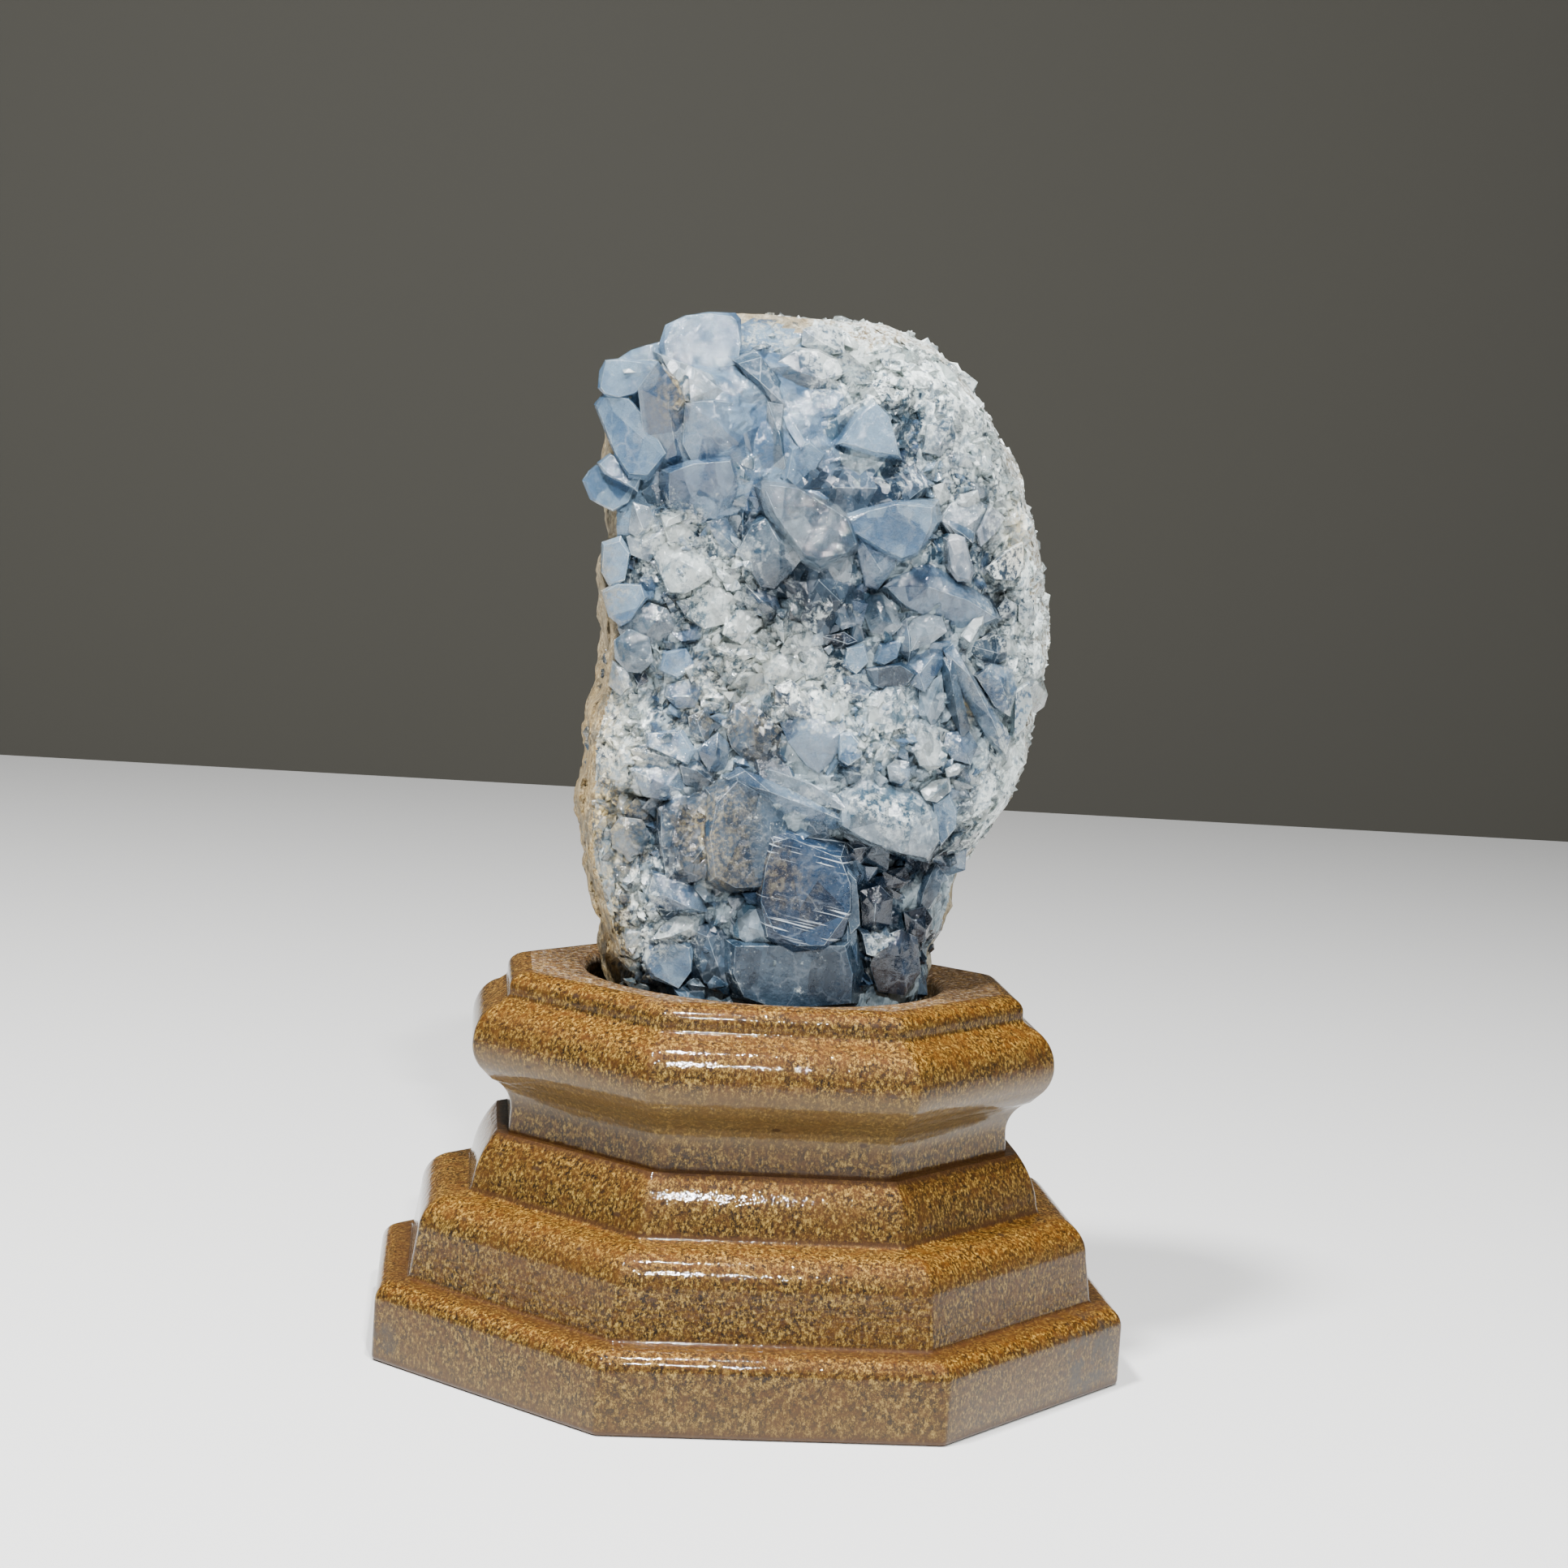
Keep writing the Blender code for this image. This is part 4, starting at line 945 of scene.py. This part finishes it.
def region_tone(x, z, rng):
    """The tone of a small crystal by where it grows."""
    _, right, _, _ = rock_limits(z)
    left = rock_limits(z)[0]
    if x > right - 6.5 and z > 60 or (z > 107 and x > -5):
        return rng.choice(("white", "white", "white", "clear", "grey"))
    if x < left + 5.5 and z < 78:
        return rng.choice(("white", "white", "dusty", "clear"))
    # Painted shade: the lower right is the deep cavity, so its crystals are mostly of the near-black dark
    # tone
    if x > 6 and z < 60:
        return rng.choice(("dark", "dark", "deep", "deep", "blue"))
    if -12 < x < 4 and 74 < z < 93:
        return rng.choice(("white", "white", "frosted", "clear", "grey"))
    if x > 4 and 66 < z < 80:
        return rng.choice(("white", "frosted", "pale", "grey", "blue"))
    if z > 96:
        return rng.choice(("pale", "blue", "grey", "frosted", "blue"))
    return rng.choice(("blue", "grey", "frosted", "pale", "deep"))


def make_crystals(materials):
    """Large crystals from their outlines, small ones between them, and white grains on the rim."""
    rng = random.Random(CRYSTAL_SEED)
    large = bmesh.new()
    centres = [outlined_crystal(large, row, rng) for row in OUTLINED]
    finish_crystals("large_crystals", large, materials, WORN_EDGE)

    small = bmesh.new()
    fill_between(small, centres, 3.1, (3.6, 6.4), (0.2, 1.2), 0.50, rng)
    fill_between(small, centres, 1.8, (1.2, 2.8), (-0.2, 0.9), 0.78, rng)
    fill_between(small, centres, 1.15, (0.8, 1.9), (-0.5, 0.5), 0.0, rng, blob_places(SUGARED))
    finish_crystals("small_crystals", small, materials, 0.0)

    make_druse(materials, rng)


def make_druse(materials, rng):
    """White grains on the crust beside the crystals: at the right, on the top and at the lower left."""
    druse = bmesh.new()
    z = 45.0
    while z < 117.8:
        left, right, _, _ = rock_limits(z)
        for angle in range(48, -210, -1):
            spot = rock_point(angle, z)
            on_right = spot.x > right - 7.0 and z > 58 and spot.y < 4
            on_top = z > 106.5 and spot.x > -5.5
            on_left = spot.x < left + 4.5 and z < 79 and -14 < spot.y < -3
            if not (on_right or on_top or on_left):
                continue
            if rng.random() > 0.70 - 0.06 * max(0.0, spot.y + 4.0):
                continue
            normal = rock_normal(angle, z)
            lean = (normal + Vector([rng.uniform(-0.4, 0.4) for _ in range(3)])).normalized()
            width = rng.uniform(0.9, 2.3)
            tip = spot + normal * rng.uniform(-0.3, 0.4)
            tip.z = min(tip.z + rng.uniform(-0.6, 0.6), DRUSE_TOP)
            tone = rng.choice(("white", "edge", "clear", "edge"))
            if on_left:
                tone = rng.choice(("white", "dusty", "clear"))
            small_crystal(druse, tip, lean, width, tone, rng, root=1.2)
        z += 1.25
    finish_crystals("sugary_rim", druse, materials, 0.0)


def finish_crystals(name, shape, materials, edge_width):
    """Turns the collected crystals into a piece, its sharp edges finely worn when an edge width is given.
    """
    bmesh.ops.dissolve_limit(shape, angle_limit=math.radians(1.5), verts=shape.verts, edges=shape.edges)
    bmesh.ops.recalc_face_normals(shape, faces=shape.faces)
    mesh = bpy.data.meshes.new(name)
    shape.to_mesh(mesh)
    shape.free()
    add_regions(mesh)
    obj = finished_object(name, mesh, materials, "celestite_cluster")
    if edge_width:
        bevel = obj.modifiers.new("worn_edges", "BEVEL")
        bevel.width = edge_width
        bevel.segments = 1
        bevel.limit_method = "ANGLE"
        bevel.angle_limit = SHARP_ANGLE
        bevel.material = TONES.index("seam")


# Stand


HALF_WIDTH = 42.0
HALF_DEPTH = 37.1
HALF_DIAGONAL = 39.2
LOWER_BOARD = 25.0
CORNER_RADIUS = 1.0

# The rounded lip of the recess and its floor: beyond the recess's radius, below the stand's top
RECESS_LIP = ((1.4, 0.0), (0.75, 0.08), (0.3, 0.35), (0.02, 0.9), (0.0, RECESS_DEPTH))


def arc(across, up, radii, start, end, steps):
    """Points of an elliptical arc, in degrees, measured from outwards towards up."""
    points = []
    for i in range(steps + 1):
        angle = math.radians(start + (end - start) * i / steps)
        points.append((across + radii[0] * math.cos(angle), up + radii[1] * math.sin(angle)))
    return points


def stand_moulding():
    """(outwards from the base wall, height) from the underside to the top edge."""
    base_slab = (
        arc(-0.6, 0.6, (0.6, 0.6), -90, 0, 4)
        + arc(-2.2, 6.7, (2.2, 2.2), 0, 90, 10)
        + arc(-3.1, 9.4, (0.5, 0.45), 270, 180, 4)
    )
    middle_step = arc(-8.2, 14.2, (3.9, 4.1), 0, 90, 12) + arc(-9.3, 18.8, (0.5, 0.45), 270, 180, 4)
    ovolo = arc(-20.9, 18.0, (11.0, 11.0), 7, 40, 8)
    neck = [(-13.7, LOWER_BOARD)]
    cove = arc(-9.9, 27.5, (3.95, 3.95), 180, 112, 9)
    bead = arc(-13.0, 35.2, (3.85, 4.1), -48, 0, 6) + arc(-13.0, 35.2, (3.85, 4.6), 12, 75, 8)
    top_step = arc(-12.3, 40.7, (0.6, 0.7), 235, 180, 4) + arc(-15.4, 41.3, (2.5, 1.8), 0, 90, 7)
    return base_slab + middle_step + ovolo + neck + cove + bead + top_step


def octagon(outwards, corner_steps=4, edge_steps=10):
    """The stand's plan moved outwards, anticlockwise, its corners rounded and edges divided."""
    half_x, half_y, diagonal = (h + outwards for h in (HALF_WIDTH, HALF_DEPTH, HALF_DIAGONAL))
    cut_x = ROOT2 * diagonal - half_y
    cut_y = ROOT2 * diagonal - half_x
    corners = [
        (half_x, -cut_y), (half_x, cut_y), (cut_x, half_y), (-cut_x, half_y),
        (-half_x, cut_y), (-half_x, -cut_y), (-cut_x, -half_y), (cut_x, -half_y),
    ]
    turn = math.radians(45)
    reach = CORNER_RADIUS * math.tan(turn / 2)
    inner = CORNER_RADIUS / math.cos(turn / 2)
    rounded = []
    for i, corner in enumerate(corners):
        here = Vector(corner)
        before = (Vector(corners[i - 1]) - here).normalized() * reach
        after = (Vector(corners[(i + 1) % len(corners)]) - here).normalized() * reach
        centre = here + (before + after).normalized() * inner
        start = here + before - centre
        turns = [Matrix.Rotation(turn * s / corner_steps, 2) for s in range(corner_steps + 1)]
        rounded.append([centre + rotation @ start for rotation in turns])
    points = []
    for i, part in enumerate(rounded):
        points += part
        following = rounded[(i + 1) % len(rounded)][0]
        for s in range(1, edge_steps):
            points.append(part[-1].lerp(following, s / edge_steps))
    return points


def make_stand():
    """The moulded stand with its recess, slightly uneven as sanded fibreboard is."""
    profile = stand_moulding()
    rings = []
    for outwards, height in profile:
        rings.append([(p.x, p.y, height) for p in octagon(outwards)])
    flat_from = len(rings)
    plan = octagon(profile[-1][0])
    for widening, depth in RECESS_LIP:
        radius, height = RECESS_RADIUS + widening, STAND_TOP - depth
        rings.append([(radius * p.x / p.length, radius * p.y / p.length, height) for p in plan])
    points, faces = stacked_rings(rings)
    mesh = mesh_from("moulded_stand", points, faces)
    count = len(rings[0])
    for face in mesh.polygons:
        level = (face.index - 1) // count
        face.material_index = 1 if level >= flat_from - 1 else 0
    mesh.shade_smooth()
    mesh.set_sharp_from_angle(angle=SHARP_ANGLE)
    materials = [stand_material("lacquered_board", False), stand_material("raw_board", True)]
    finished_object("moulded_stand", mesh, materials, "wooden_stand")


# Surroundings


# The floor and the backdrop: half width, distance behind the object, height
ROOM = (1500, 620, 1400)

# Lights: name, place, aim, size in millimetres, power in watts
LIGHTS = (
    ("key", (-240, -200, 620), (0, 0, 55), (80, 80), 9.5),
    ("upper", (20, -170, 520), (0, 0, 20), (24, 9), 3.4),
    ("front", (32, -480, 400), (0, 0, 40), (26, 12), 4.4),
    ("fill", (520, -300, 420), (0, 0, 60), (420, 420), 0.6),
)


def area_light(name, at, towards, size, power):
    """A soft rectangular light."""
    data = bpy.data.lights.new(name, "AREA")
    data.shape = "RECTANGLE"
    data.size, data.size_y = (s * MM for s in size)
    data.energy = power
    light = bpy.data.objects.new(name, data)
    light.location = Vector(at) * MM
    light.rotation_euler = (Vector(towards) - Vector(at)).to_track_quat("-Z", "Y").to_euler()
    bpy.context.scene.collection.objects.link(light)


def stage_plane(name, colour, roughness, corners):
    """A plain flat part of the surroundings."""
    paint = NodeMaterial(f"{name}_paint")
    paint.set(Base_Color=colour, Roughness=roughness)
    mesh = mesh_from(name, corners, [(0, 1, 2, 3)])
    mesh.materials.append(paint.material)
    obj = bpy.data.objects.new(name, mesh)
    bpy.context.scene.collection.objects.link(obj)


def make_surroundings():
    """Camera, floor, backdrop and lights."""
    data = bpy.data.cameras.new("camera")
    data.sensor_width = SENSOR_WIDTH
    data.lens = FOCAL_PIXELS * SENSOR_WIDTH / PHOTO_SIZE
    data.clip_start = 0.01
    camera = bpy.data.objects.new("camera", data)
    turned = Matrix((CAMERA_RIGHT, CAMERA_UP, -CAMERA_FORWARD)).transposed().to_4x4()
    turned.translation = CAMERA_AT * MM
    camera.matrix_world = turned
    bpy.context.scene.collection.objects.link(camera)
    bpy.context.scene.camera = camera

    side, behind, top = ROOM
    floor = ((-side, -side, 0), (side, -side, 0), (side, behind, 0), (-side, behind, 0))
    wall = ((-side, behind, -1), (side, behind, -1), (side, behind, top), (-side, behind, top))
    stage_plane("floor", (0.80, 0.80, 0.79), 0.5, floor)
    stage_plane("wall", (0.045, 0.043, 0.035), 0.9, wall)

    for light in LIGHTS:
        area_light(*light)
    world = bpy.data.worlds.new("soft_room")
    world.use_nodes = True
    world.node_tree.nodes["Background"].inputs["Color"].default_value = (0.62, 0.64, 0.66, 1.0)
    world.node_tree.nodes["Background"].inputs["Strength"].default_value = 0.15
    bpy.context.scene.world = world


def main():
    noise.seed_set(FACET_SEED)
    make_surroundings()
    crystal_materials = [crystal_material(tone) for tone in TONES]
    make_rock([crust_material(), crystal_material("matrix"), crystal_material("pale")])
    make_crystals(crystal_materials)
    make_stand()


main()
bpy.context.view_layer.update()
